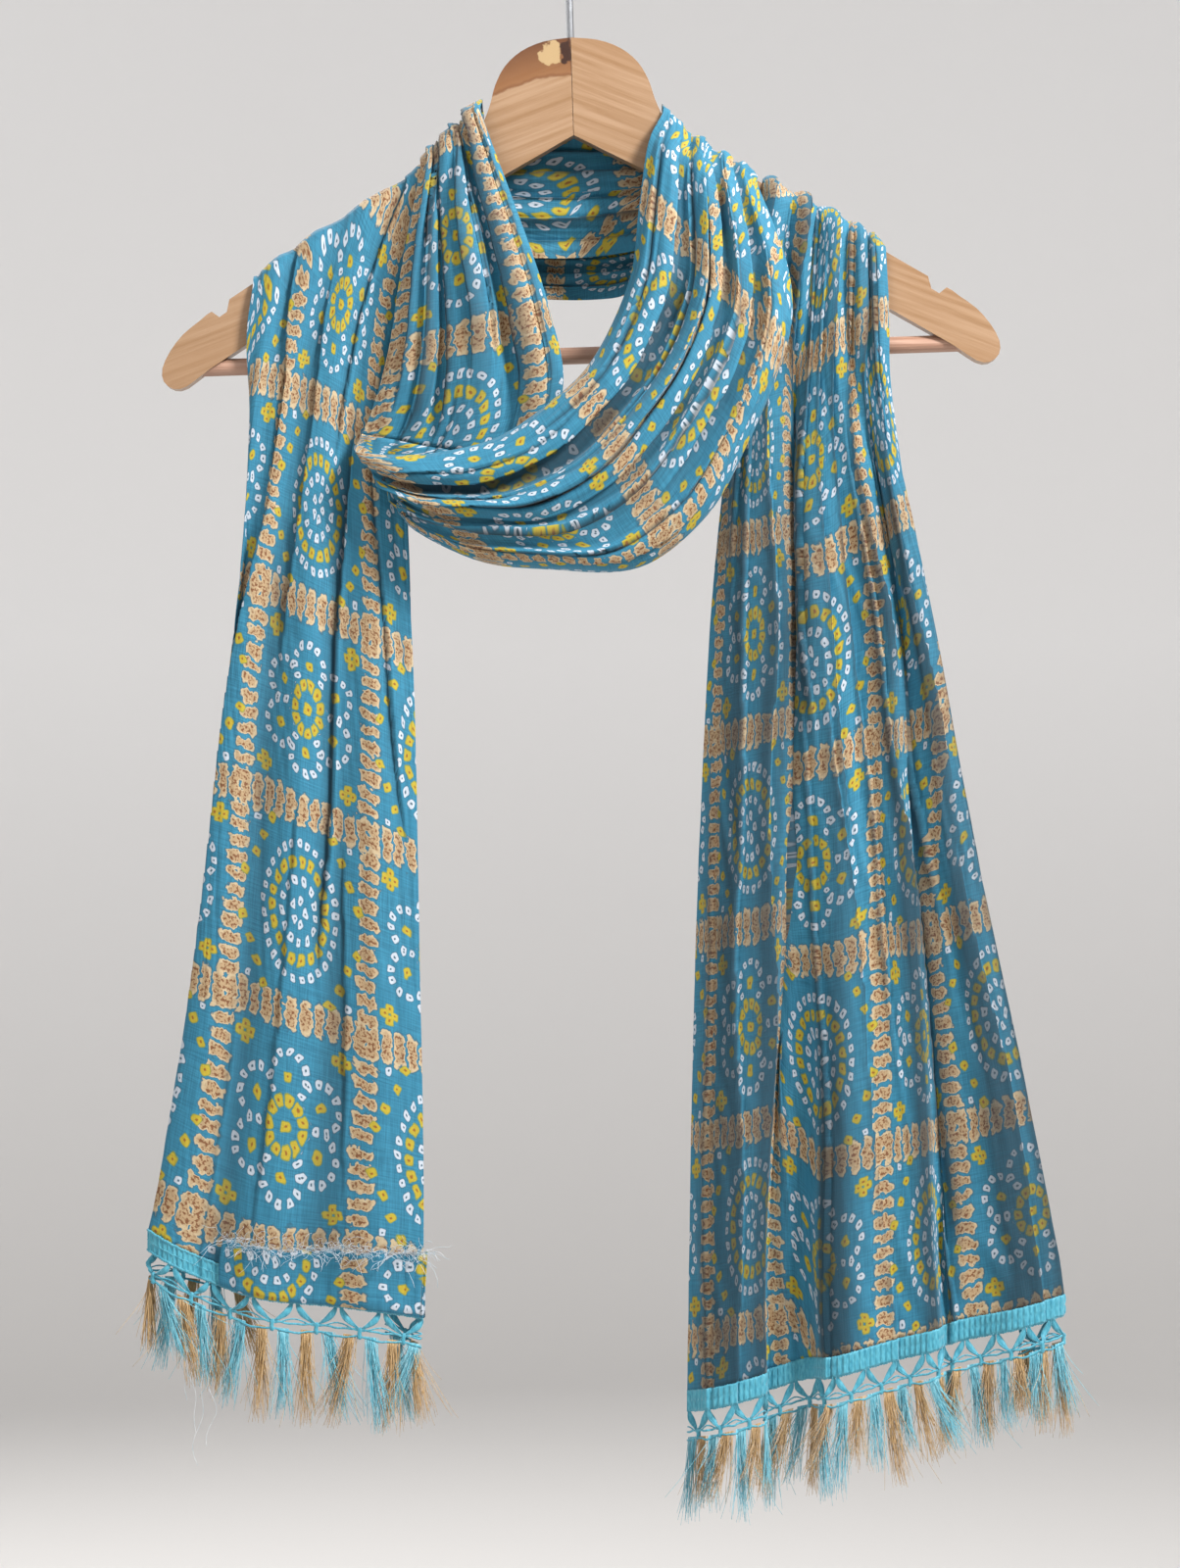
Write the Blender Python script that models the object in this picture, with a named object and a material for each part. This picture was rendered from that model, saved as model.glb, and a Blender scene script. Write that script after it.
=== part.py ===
"""Dupatta stole wound once round a wooden clothes hanger.

Metres, +Z up, the viewer stands at -Y. The origin is the point inside the
hook that rests on a rail. Tables give millimetres in the sheet frame:
x from the top centre of the wood, drop below that top, front towards -Y.
"""
import math

import bmesh
import bpy
import numpy as np
from mathutils import Matrix

for old in list(bpy.data.objects):
    bpy.data.objects.remove(old, do_unlink=True)

MM = 0.001
SEAM_GAP = 0.3            # clear space between neighbouring pieces
CLOTH = 1.2               # thickness of every cloth wall

# Hanger, real sizes
TILT = math.radians(1.9)  # the hanger hangs this far out of level, right arm up
HOOK_RISE = 75.0          # rail to the top of the wood
WOOD_THICK = 12.0
WOOD_BEVEL = 1.5
BAR_RADIUS = 4.5
BAR_DROP = 167.0
BAR_REACH = 205.0
HOOK_RADIUS = 20.0        # middle of the wire, so the rail seat is 18.1
WIRE_RADIUS = 1.9
NECK_BEND = 8.0
HOOK_TIP_ANGLE = 205.0

# Half of the wood from the top centre along the shoulder and back underneath
WOOD_OUTLINE = [  # out from the centre joint, drop
    (0, 0), (14, 1.6), (26, 6.3), (35, 14), (40.5, 24), (43.5, 34),
    (48, 44), (56, 53), (70, 63), (94, 77.5), (120, 92.5), (146, 108),
    (169, 122.5), (184, 131.8), (185.6, 138.4), (189.6, 141), (193.6, 138),
    (200, 142.6), (209, 149.5), (216, 158), (220.5, 167), (220, 174),
    (215, 178), (208, 177), (196, 168.5), (175, 155.5), (130, 128),
    (84, 100), (35, 70), (16, 60), (6, 54.5), (0, 51.5),
]
SHOULDER_POINTS = 13      # outline points that run along the top edge
ROUNDED_RUNS = ((0, 8, 3), (16, 25, 2))  # first point, last point, steps between them

# How the cloth lies over an arm
ARM_AXIS_DROP = 6.5       # the wrap's centre below the top edge
ARM_WRAP = 9.2            # radius of the layer that lies on the wood
TOP_WRAP = 16.0           # radius of the layer that lies on another one
LIFT_ON_SLOPE = 4.0       # how much higher the cloth lies where the wood is steep
WRAP_ANGLES = (18, 54, 90, 126, 162)  # degrees, from the back over the top

COLUMNS = 31              # cloth points across, the same in every stretch

# Cross-sections of the cloth: share of the width from edge a to edge b,
# and how far the cloth stands out from the middle of its layer
FOLDS = {
    "left_foot": [
        (0.14, -8.5), (0.00, -3.0), (0.07, 0.5), (0.20, 5.0), (0.38, 0.5),
        (0.58, 5.0), (0.75, -1.5), (0.88, 3.5), (0.96, 2.0), (1.00, -3.5),
        (0.88, -8.0), (0.64, -9.0),
    ],
    "left_arm": [
        (0.00, 0.0), (0.07, 2.0), (0.15, 0.5), (0.26, 3.0), (0.36, 1.0),
        (0.50, 3.0), (0.62, 0.8), (0.74, 3.2), (0.82, 1.0), (0.90, 3.0),
        (0.96, 1.0), (1.00, 0.0),
    ],
    "band_up": [
        (0.00, 0.0), (0.10, 1.6), (0.22, 3.2), (0.32, 0.6), (0.42, 0.4),
        (0.52, 3.0), (0.60, 2.4), (0.68, 0.4), (0.78, 2.2), (0.86, 3.2),
        (0.94, 1.0), (1.00, 0.0),
    ],
    "front_arm": [
        (0.00, 0.0), (0.10, 3.0), (0.20, 3.6), (0.30, 0.6), (0.40, 3.8),
        (0.48, 4.0), (0.57, 1.0), (0.66, 4.2), (0.76, 1.2), (0.86, 3.8),
        (0.95, 2.0), (1.00, 0.0),
    ],
    "front_loop": [
        (0.00, -4.0), (0.05, 2.5), (0.18, 5.0), (0.30, -0.5), (0.38, 5.0),
        (0.50, 8.0), (0.60, 1.0), (0.68, 7.0), (0.80, 1.5), (0.89, 5.5),
        (0.97, 0.5), (1.00, -5.0),
    ],
    "tip": [
        (0.00, -1.5), (0.08, 1.0), (0.18, 1.6), (0.28, 0.4), (0.38, 1.6),
        (0.48, 2.0), (0.58, 0.4), (0.68, 1.8), (0.78, 0.4), (0.88, 1.6),
        (0.95, 0.8), (1.00, -1.5),
    ],
    "left_limb": [
        (0.00, -2.5), (0.05, 1.5), (0.16, 5.0), (0.27, 3.0), (0.33, -2.0),
        (0.42, 3.0), (0.54, 6.5), (0.66, 1.0), (0.74, -1.0), (0.84, 4.5),
        (0.95, 2.0), (1.00, -2.5),
    ],
    "limb_arm": [
        (0.00, 0.0), (0.09, 2.4), (0.18, 3.4), (0.27, 1.0), (0.36, 0.6),
        (0.45, 3.2), (0.54, 3.8), (0.63, 1.2), (0.72, 0.6), (0.82, 3.4),
        (0.92, 2.4), (1.00, 0.0),
    ],
    "band_low": [
        (0.00, 0.0), (0.10, 1.4), (0.20, 2.4), (0.30, 1.2), (0.40, 0.4),
        (0.50, 1.8), (0.60, 2.4), (0.70, 0.8), (0.80, 1.8), (0.88, 2.2),
        (0.95, 1.0), (1.00, 0.0),
    ],
    "right_arm": [
        (0.00, 0.0), (0.08, 4.0), (0.16, 0.8), (0.22, 4.6), (0.32, 1.2),
        (0.42, 4.8), (0.52, 2.2), (0.58, 0.6), (0.66, 4.8), (0.78, 0.8),
        (0.92, 4.2), (1.00, 0.0),
    ],
    "right_hang": [
        (0.05, -7.0), (0.00, -2.0), (0.09, 5.5), (0.165, -8.5), (0.22, 6.5),
        (0.36, 3.0), (0.45, 7.0), (0.595, 8.5), (0.632, -10.0), (0.672, 8.0),
        (0.87, 7.0), (1.00, -6.5),
    ],
    "right_foot": [
        (0.12, -8.0), (0.00, -2.0), (0.13, 6.5), (0.30, -9.5), (0.345, 7.0),
        (0.45, 4.0), (0.61, 10.0), (0.68, -11.0), (0.79, -12.0), (0.80, 8.0),
        (0.92, 10.5), (1.00, -5.0),
    ],
}

# Rows of each stretch, edge a and edge b of the cloth at one section:
# a x, a drop, b x, b drop, front of a, front of b, bulge between them,
# first fold section, second fold section, share of the second
LEFT_TAIL_ROWS = [
    (-77.6, 661, -221.0, 616, 13, 13, 0, "left_foot", "left_arm", 0.00),
    (-77.0, 610, -213.0, 582, 13, 13, 0, "left_foot", "left_arm", 0.00),
    (-78.0, 530, -200.5, 520, 13, 13, 0, "left_foot", "left_arm", 0.00),
    (-80.0, 440, -192.5, 440, 13, 13, 0, "left_foot", "left_arm", 0.05),
    (-81.5, 350, -185.5, 350, 13, 13, 0, "left_foot", "left_arm", 0.12),
    (-83.0, 275, -179.5, 285, 13, 13, 0, "left_foot", "left_arm", 0.30),
    (-82.0, 215, -175.4, 232, 12, 12, 0, "left_foot", "left_arm", 0.62),
    (-74.0, 150, -173.0, 187, 11, 11, 0, "left_foot", "left_arm", 0.88),
    (-60.0, 95, -170.0, 156, 10, 10, 0, "left_foot", "left_arm", 1.00),
]
LEFT_TAIL_ARM = (-46.5, -167.0, ARM_WRAP, "left_arm")
LEFT_TAIL_BACK = [
    (-46.5, 56, -140.0, 134, -9.8, -9.8, 0, "left_arm", "band_up", 0.35),
    (-45.5, 50, -84.0, 121, -10, -10, 0, "left_arm", "band_up", 0.75),
]
UPPER_BAND_ROWS = [
    (-43.5, 46, -43.5, 112, -10, -10, 0, "band_up", "band_up", 0.0),
    (-20.0, 44, -19.0, 114, -10.5, -11, 0, "band_up", "band_up", 0.0),
    (1.0, 44, 2.0, 114, -10.5, -11, 0, "band_up", "band_up", 0.0),
    (22.0, 44, 23.0, 112, -10.5, -11, 0, "band_up", "band_up", 0.0),
    (40.0, 45, 40.0, 109, -10, -10, 0, "band_up", "band_up", 0.0),
]
FRONT_LOOP_BACK = [
    (46.0, 47, 60.0, 105, -10, -10, 0, "band_up", "front_arm", 0.35),
    (47.5, 48, 82.0, 100, -9.8, -9.8, 0, "band_up", "front_arm", 0.75),
]
FRONT_LOOP_ARM = (48.5, 98.5, ARM_WRAP, "front_arm")
FRONT_LOOP_ROWS = [
    (41.0, 57, 105.0, 96, 15, 17, 2, "front_arm", "front_loop", 0.10),
    (36.0, 92, 114.0, 124, 22, 24, 4, "front_arm", "front_loop", 0.35),
    (31.0, 130, 115.5, 152, 28, 28, 6, "front_arm", "front_loop", 0.65),
    (12.4, 171, 107.6, 180, 33, 29, 8, "front_loop", "tip", 0.0),
    (-10.0, 194, 93.0, 214, 36, 30, 9, "front_loop", "tip", 0.0),
    (-38.0, 213, 72.0, 252, 37, 31, 10, "front_loop", "tip", 0.0),
    (-70.0, 221, 36.0, 280, 37, 32, 9, "front_loop", "tip", 0.1),
    (-92.0, 222, -12.0, 281, 36, 33, 7, "front_loop", "tip", 0.3),
    (-104.0, 221, -50.0, 276, 34, 32, 3, "front_loop", "tip", 0.7),
]
TURN_ROWS = [
    (-111.5, 220, -86.0, 256, 29, 29, 0, "tip", "tip", 0.0),
    (-112.0, 217, -56.0, 250, 24.0, 23.5, 0, "tip", "left_limb", 0.25),
    (-109.0, 210, -20.0, 227, 21.5, 21.5, 0, "tip", "left_limb", 0.60),
]
LEFT_LIMB_ROWS = [
    (-103.0, 196, -4.0, 186, 22, 23, 0, "left_limb", "limb_arm", 0.0),
    (-95.0, 166, -11.0, 145, 22, 23, 2, "left_limb", "limb_arm", 0.1),
    (-90.0, 133, -23.5, 106, 21, 21, 3, "left_limb", "limb_arm", 0.4),
    (-85.0, 104, -36.0, 72, 19.5, 19.0, 2, "left_limb", "limb_arm", 0.75),
]
LEFT_LIMB_ARM = (-79.0, -46.5, TOP_WRAP, "limb_arm")
LEFT_LIMB_BACK = [
    (-74.0, 106, -51.0, 82, -18, -18, 0, "limb_arm", "band_low", 0.4),
    (-59.0, 126, -50.0, 98, -21, -20, 0, "limb_arm", "band_low", 0.8),
]
LOWER_BAND_ROWS = [
    (-43.5, 131, -43.5, 102, -22, -21, 0, "band_low", "band_low", 0.0),
    (-20.0, 134, -20.0, 105, -22.5, -22, 0, "band_low", "band_low", 0.0),
    (2.0, 135, 2.0, 106, -22.5, -22, 0, "band_low", "band_low", 0.0),
    (22.0, 134, 22.0, 105, -22.5, -22, 0, "band_low", "band_low", 0.0),
    (40.0, 131, 40.0, 102, -22, -21, 0, "band_low", "band_low", 0.0),
]
RIGHT_TAIL_BACK = [
    (84.0, 136, 64.0, 104, -19, -19, 0, "band_low", "right_arm", 0.35),
    (132.0, 138, 88.0, 106, -14, -17, 0, "band_low", "right_arm", 0.75),
]
RIGHT_TAIL_ARM = (166.0, 101.5, ARM_WRAP, "right_arm")
RIGHT_TAIL_ROWS = [
    (167.5, 146, 97.5, 100, 10, 9.5, 0, "right_arm", "right_hang", 0.0),
    (168.5, 178, 93.5, 140, 11, 10.5, 0, "right_arm", "right_hang", 0.15),
    (174.0, 215, 86.0, 190, 11.5, 11, 0, "right_arm", "right_hang", 0.4),
    (182.0, 256, 80.0, 240, 12, 12, 0, "right_arm", "right_hang", 0.75),
    (193.0, 318, 74.0, 305, 12, 12, 0, "right_hang", "right_foot", 0.0),
    (206.0, 390, 70.0, 380, 12, 12, 0, "right_hang", "right_foot", 0.25),
    (222.0, 470, 66.5, 465, 12, 12, 0, "right_hang", "right_foot", 0.5),
    (241.0, 560, 64.0, 560, 12, 12, 0, "right_hang", "right_foot", 0.8),
    (254.0, 626, 62.5, 650, 12, 12, 0, "right_hang", "right_foot", 1.0),
    (259.7, 661, 61.6, 712, 12, 12, 0, "right_hang", "right_foot", 1.0),
]

# Crochet edging and fringe below each end of the cloth
LACE_THICK = 1.2
LACE_BAND = 11.0          # closely worked heading
LACE_NET = 11.0           # open petals
LACE_RAIL = 2.4           # cord that the petals end on
PETAL_WIDTH = 2.6
FRINGE_HEAD = 1.6
FRINGE_THICK = 1.4
EDGINGS = [  # end, repeats of the net, locks of fringe, fringe length
    {"side": "left", "repeats": 10, "locks": 30, "length": 38.0},
    {"side": "right", "repeats": 17, "locks": 51, "length": 44.0},
]
FRINGE_LEAN = 5.0
FRINGE_VARY = 0.22
HEM_SAMPLES = 241


def world(x, drop, front):
    """Sheet-frame millimetres to world metres; the wood's top is off-centre by the tilt."""
    return np.stack([
        (np.asarray(x, float) + HOOK_RISE * math.sin(TILT)) * MM,
        -np.asarray(front, float) * MM + 0 * np.asarray(x, float),
        (-HOOK_RISE * math.cos(TILT) - np.asarray(drop, float)) * MM,
    ], axis=-1)


def curve_through(keys, steps):
    """Catmull-Rom rows through the key rows, with a number of steps after each key."""
    keys = np.asarray(keys, float)
    rows = []
    for i, count in enumerate(steps):
        before = keys[max(i - 1, 0)]
        start = keys[i]
        end = keys[i + 1]
        after = keys[min(i + 2, len(keys) - 1)]
        for step in range(count):
            t = step / count
            rows.append(
                0.5 * (2 * start + (end - before) * t
                       + (2 * before - 5 * start + 4 * end - after) * t ** 2
                       + (3 * start - before - 3 * end + after) * t ** 3)
            )
    rows.append(keys[-1])
    return np.array(rows)


def fold_curve(name):
    """Share of the width and stand-out at every cloth column."""
    controls = FOLDS[name]
    fine = curve_through(controls, [8] * (len(controls) - 1))
    at = np.linspace(0, len(fine) - 1, COLUMNS)
    whole = np.arange(len(fine))
    return np.stack([np.interp(at, whole, fine[:, k]) for k in (0, 1)], axis=1)


def mixed_folds(first, second, share):
    return fold_curve(first) * (1 - share) + fold_curve(second) * share


def shoulder_line():
    """Top edge of the tilted wood as x and drop, left arm to right arm."""
    top = np.array(WOOD_OUTLINE[:SHOULDER_POINTS], float)
    both = np.concatenate([top[::-1] * (-1, 1), top[1:]])
    x = both[:, 0] * math.cos(TILT) + both[:, 1] * math.sin(TILT)
    drop = both[:, 1] * math.cos(TILT) - both[:, 0] * math.sin(TILT)
    return x, drop


def hanging_row(row):
    a_x, a_drop, b_x, b_drop, a_front, b_front, bulge, first, second, share = row
    folds = mixed_folds(first, second, share)
    across, out = folds[:, 0], folds[:, 1]
    front = a_front + (b_front - a_front) * across
    side = 1 if a_front > 0 else -1
    rounding = bulge * np.sin(math.pi * np.clip(across, 0, 1))
    return np.stack([
        a_x + (b_x - a_x) * across,
        a_drop + (b_drop - a_drop) * across,
        front + side * (out + rounding),
    ], axis=1)


def wrapped_rows(a_x, b_x, radius, folds, from_back):
    """The cloth's way over an arm, in steps round the wood's top edge."""
    line_x, line_drop = shoulder_line()
    curve = fold_curve(folds)
    x = a_x + (b_x - a_x) * curve[:, 0]
    top = np.interp(x, line_x, line_drop)
    probe = 4.0
    slope = (np.interp(x + probe, line_x, line_drop)
             - np.interp(x - probe, line_x, line_drop)) / (2 * probe)
    lift = LIFT_ON_SLOPE * (np.sqrt(1 + slope ** 2) - 1)
    reach = radius + curve[:, 1] - curve[:, 1].min()
    rows = []
    for angle in WRAP_ANGLES:
        turn = math.radians(angle)
        rows.append(np.stack([
            x,
            top + ARM_AXIS_DROP - lift - reach * math.sin(turn),
            -reach * math.cos(turn),
        ], axis=1))
    return rows if from_back else rows[::-1]


def stretch(keys, steps):
    """Grid of the cloth's middle surface, in metres, through its key sections."""
    grid = curve_through(keys, steps)
    return world(grid[..., 0], grid[..., 1], grid[..., 2])


def trimmed(grid, start, end):
    """Pulls an end row back so that neighbours lie a seam gap apart."""
    grid = grid.copy()
    half = SEAM_GAP * MM / 2
    for row, inner, wanted in ((0, 1, start), (-1, -2, end)):
        if wanted:
            way = grid[inner] - grid[row]
            length = np.linalg.norm(way, axis=1, keepdims=True)
            grid[row] += way / length * half
    return grid


def surface_normals(grid):
    along = np.gradient(grid, axis=0)
    across = np.gradient(grid, axis=1)
    normal = np.cross(along, across)
    return normal / np.linalg.norm(normal, axis=2, keepdims=True)


def material(name, colour, roughness, metallic=0.0):
    made = bpy.data.materials.new(name)
    made.use_nodes = True
    shader = made.node_tree.nodes["Principled BSDF"]
    shader.inputs["Base Color"].default_value = (*colour, 1.0)
    shader.inputs["Roughness"].default_value = roughness
    shader.inputs["Metallic"].default_value = metallic
    return made


def add_object(name, points, faces, finish, smooth=True):
    mesh = bpy.data.meshes.new(name)
    mesh.from_pydata([tuple(p) for p in points], [], faces)
    shape = bmesh.new()
    shape.from_mesh(mesh)
    if shape.calc_volume(signed=True) < 0:
        bmesh.ops.reverse_faces(shape, faces=shape.faces)
    shape.to_mesh(mesh)
    shape.free()
    if smooth:
        mesh.shade_smooth()
        mesh.set_sharp_from_angle(angle=math.radians(50))
    mesh.materials.append(finish)
    made = bpy.data.objects.new(name, mesh)
    bpy.context.scene.collection.objects.link(made)
    return made


def walled(name, grid, normal, thick, finish):
    """A closed wall of even thickness about a grid of middle points."""
    rows, cols = grid.shape[:2]
    outer = (grid + normal * thick / 2).reshape(-1, 3)
    inner = (grid - normal * thick / 2).reshape(-1, 3)
    points = np.concatenate([outer, inner])
    shift = rows * cols

    def at(row, col, back=False):
        return row * cols + col + (shift if back else 0)

    faces = []
    for row in range(rows - 1):
        for col in range(cols - 1):
            corners = [(row, col), (row, col + 1), (row + 1, col + 1), (row + 1, col)]
            faces.append([at(r, c) for r, c in corners])
            faces.append([at(r, c, True) for r, c in reversed(corners)])
    border = [(0, c) for c in range(cols)]
    border += [(r, cols - 1) for r in range(1, rows)]
    border += [(rows - 1, c) for c in range(cols - 2, -1, -1)]
    border += [(r, 0) for r in range(rows - 2, 0, -1)]
    for here, there in zip(border, border[1:] + border[:1]):
        faces.append([at(*there), at(*here), at(*here, True), at(*there, True)])
    return add_object(name, points, faces, finish)


def hem_line(edge, count):
    """Even steps along the foot of a tail: points, and the cloth's normal at each."""
    foot, normal = edge
    length = np.concatenate([[0], np.cumsum(np.linalg.norm(np.diff(foot, axis=0), axis=1))])
    at = np.linspace(0, length[-1], count)
    points = np.stack([np.interp(at, length, foot[:, k]) for k in range(3)], axis=1)
    facing = np.stack([np.interp(at, length, normal[:, k]) for k in range(3)], axis=1)
    facing[:, 2] = 0
    facing /= np.linalg.norm(facing, axis=1, keepdims=True)
    return points, facing, length[-1]


def line_at(samples, share):
    where = share * (len(samples) - 1)
    return np.array([np.interp(where, np.arange(len(samples)), samples[:, k]) for k in range(3)])


def crochet(name, edge, repeats, finish):
    """Heading, open petals and lower cord as one wall with its gaps cut through."""
    line, facing, length = hem_line(edge, HEM_SAMPLES)
    half_petal = PETAL_WIDTH * MM / length
    pitch = 1.0 / repeats
    heading, lower = [0.0], [0.0]
    for i in range(repeats):
        middle = (i + 0.5) * pitch
        heading += [middle - half_petal, middle, middle + half_petal]
        if i:
            lower += [i * pitch - half_petal, i * pitch, i * pitch + half_petal]
        else:
            lower += [half_petal]
    heading.append(1.0)
    lower += [1.0 - half_petal, 1.0]
    drops = {
        "top": SEAM_GAP,
        "heading": SEAM_GAP + LACE_BAND,
        "net": SEAM_GAP + LACE_BAND + LACE_NET,
        "rail": SEAM_GAP + LACE_BAND + LACE_NET + LACE_RAIL,
    }
    points = []

    def add_row(shares, level):
        start = len(points) // 2
        for share in shares:
            base = line_at(line, share) - np.array([0, 0, drops[level] * MM])
            out = line_at(facing, share) * LACE_THICK * MM / 2
            points.extend([base + out, base - out])
        return list(range(start, start + len(shares)))

    top = add_row(heading, "top")
    mid = add_row(heading, "heading")
    net = add_row(lower, "net")
    rail = add_row(lower, "rail")
    cells = []
    for upper, under in ((top, mid), (net, rail)):
        for i in range(len(upper) - 1):
            cells.append((upper[i], upper[i + 1], under[i + 1], under[i]))
    for i in range(repeats):
        left, centre, right = mid[3 * i + 1], mid[3 * i + 2], mid[3 * i + 3]
        before = 3 * i
        cells.append((left, centre, net[before + 1], net[before]))
        cells.append((centre, right, net[before + 3], net[before + 2]))
    return wall_from_cells(name, points, cells, finish)


def wall_from_cells(name, points, cells, finish):
    """Front and back faces from cells of paired points, walled along each free side."""
    sides = {}
    faces = []
    for cell in cells:
        faces.append([2 * p for p in cell])
        faces.append([2 * p + 1 for p in reversed(cell)])
        for here, there in zip(cell, cell[1:] + cell[:1]):
            key = (there, here)
            if key in sides:
                del sides[key]
            else:
                sides[(here, there)] = True
    for here, there in sides:
        faces.append([2 * there, 2 * here, 2 * here + 1, 2 * there + 1])
    return add_object(name, points, faces, finish, smooth=False)


def fringe(name, edge, locks, length, finish):
    """Locks of thread, four-sided and tapering, from a narrow head strip."""
    line, facing, _ = hem_line(edge, HEM_SAMPLES)
    start_drop = 2 * SEAM_GAP + LACE_BAND + LACE_NET + LACE_RAIL
    lock_share = 0.5
    shares = []
    for i in range(locks):
        shares += [(i + 0.5 - lock_share / 2) / locks, (i + 0.5 + lock_share / 2) / locks]
    points, faces = [], []
    half = FRINGE_THICK * MM / 2

    def ring(share, level):
        base = line_at(line, share) - np.array([0, 0, level * MM])
        out = line_at(facing, share) * half
        points.extend([base + out, base - out])
        return len(points) - 2

    high = [ring(share, start_drop) for share in shares]
    low = [ring(share, start_drop + FRINGE_HEAD) for share in shares]
    last = len(shares) - 1
    for i in range(last):
        faces.append([high[i], high[i + 1], low[i + 1], low[i]])
        faces.append([high[i] + 1, low[i] + 1, low[i + 1] + 1, high[i + 1] + 1])
        faces.append([high[i], high[i] + 1, high[i + 1] + 1, high[i + 1]])
        if i % 2:
            faces.append([low[i], low[i + 1], low[i + 1] + 1, low[i] + 1])
    faces.append([high[0], low[0], low[0] + 1, high[0] + 1])
    faces.append([high[last], high[last] + 1, low[last] + 1, low[last]])
    for lock in range(locks):
        left, right = low[2 * lock], low[2 * lock + 1]
        loop = [left, right, right + 1, left + 1]
        corners = np.array([points[p] for p in loop])
        centre = corners.mean(axis=0)
        swing = math.sin(lock * 2.4) * FRINGE_LEAN * MM
        vary = 1 + FRINGE_VARY * math.sin(lock * 1.7 + 0.6)
        for share, taper in ((0.5, 0.8), (1.0, 0.45)):
            shift = np.array([swing * share ** 2, 0, -length * MM * vary * share])
            new = len(points)
            points.extend(centre + (corners - centre) * taper + shift)
            below = [new, new + 1, new + 2, new + 3]
            for k in range(4):
                n = (k + 1) % 4
                faces.append([loop[k], loop[n], below[n], below[k]])
            loop = below
        faces.append(loop)
    return add_object(name, points, faces, finish, smooth=False)


def hanger_turn():
    return Matrix.Rotation(-TILT, 4, "Y")


def rounded_outline():
    """The outline with its neck and tip turned from corners into curves."""
    steps = [1] * (len(WOOD_OUTLINE) - 1)
    for first, last, count in ROUNDED_RUNS:
        steps[first:last] = [count] * (last - first)
    smooth = curve_through(WOOD_OUTLINE, steps)
    rows, kept = 0, []
    for i, count in enumerate(steps):
        kept.append(WOOD_OUTLINE[i])
        kept += [tuple(point) for point in smooth[rows + 1:rows + count]]
        rows += count
    return kept + [WOOD_OUTLINE[-1]]


def wood_half(name, side, finish, cutter):
    """One arm: its outline extruded to the board's thickness, edges rounded."""
    outline = [(max(out, SEAM_GAP / 2) * side, drop) for out, drop in rounded_outline()]
    half = WOOD_THICK / 2
    points = [(x * MM, y * MM, -(HOOK_RISE + drop) * MM) for y in (-half, half) for x, drop in outline]
    count = len(outline)
    faces = [list(range(count)), list(range(2 * count - 1, count - 1, -1))]
    for i in range(count):
        n = (i + 1) % count
        faces.append([n, i, i + count, n + count])
    made = add_object(name, points, faces, finish)
    made.data.transform(hanger_turn())
    hole = made.modifiers.new("bar_hole", "BOOLEAN")
    hole.operation = "DIFFERENCE"
    hole.object = cutter
    round_edge = made.modifiers.new("rounded_edge", "BEVEL")
    round_edge.width = WOOD_BEVEL * MM
    round_edge.segments = 1
    round_edge.limit_method = "ANGLE"
    round_edge.angle_limit = math.radians(60)
    return made


def rod(name, radius, reach, drop, finish, sides=20):
    bpy.ops.mesh.primitive_cylinder_add(
        vertices=sides, radius=radius * MM, depth=2 * reach * MM,
        rotation=(0, math.pi / 2, 0))
    made = bpy.context.active_object
    made.name = name
    made.data.transform(made.matrix_world)
    made.matrix_world = Matrix()
    made.data.transform(hanger_turn() @ Matrix.Translation((0, 0, -(HOOK_RISE + drop) * MM)))
    if finish:
        made.data.materials.append(finish)
        made.data.shade_smooth()
        made.data.set_sharp_from_angle(angle=math.radians(50))
    return made


def hook(finish):
    """Bent wire: straight stem, neck bend, then an open ring over the rail."""
    centre = -(HOOK_RADIUS - WIRE_RADIUS)
    fall = math.sqrt(HOOK_RADIUS ** 2 + 2 * HOOK_RADIUS * NECK_BEND)
    neck = centre - fall
    meet = math.degrees(math.asin(fall / (HOOK_RADIUS + NECK_BEND)))
    route = [(0, -(HOOK_RISE - SEAM_GAP)), (0, (neck - HOOK_RISE) / 2)]
    for step in range(6):
        turn = math.radians(180 - meet * step / 5)
        route.append((NECK_BEND + NECK_BEND * math.cos(turn), neck + NECK_BEND * math.sin(turn)))
    arc_steps = 20
    for step in range(1, arc_steps + 1):
        turn = math.radians(-meet + (HOOK_TIP_ANGLE + meet) * step / arc_steps)
        route.append((HOOK_RADIUS * math.cos(turn), centre + HOOK_RADIUS * math.sin(turn)))
    curve = bpy.data.curves.new("hook_wire", "CURVE")
    curve.dimensions = "3D"
    curve.bevel_depth = WIRE_RADIUS * MM
    curve.bevel_resolution = 2
    curve.use_fill_caps = True
    line = curve.splines.new("POLY")
    line.points.add(len(route) - 1)
    for point, (x, z) in zip(line.points, route):
        point.co = (x * MM, 0, z * MM, 1)
    curve.materials.append(finish)
    made = bpy.data.objects.new("hanger_hook", curve)
    made.matrix_world = hanger_turn()
    bpy.context.scene.collection.objects.link(made)
    return made


def build_hanger():
    wood = material("beech_wood", (0.62, 0.40, 0.22), 0.55)
    dowel = material("dowel_wood", (0.60, 0.36, 0.25), 0.5)
    steel = material("plated_wire", (0.75, 0.76, 0.78), 0.25, 1.0)
    hole = rod("bar_hole_cutter", BAR_RADIUS + SEAM_GAP, BAR_REACH + SEAM_GAP, BAR_DROP, None)
    hole.hide_render = True
    hole.display_type = "WIRE"
    wood_half("hanger_wood_left", -1, wood, hole)
    wood_half("hanger_wood_right", 1, wood, hole)
    rod("hanger_bar", BAR_RADIUS, BAR_REACH, BAR_DROP, dowel)
    hook(steel)


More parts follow.
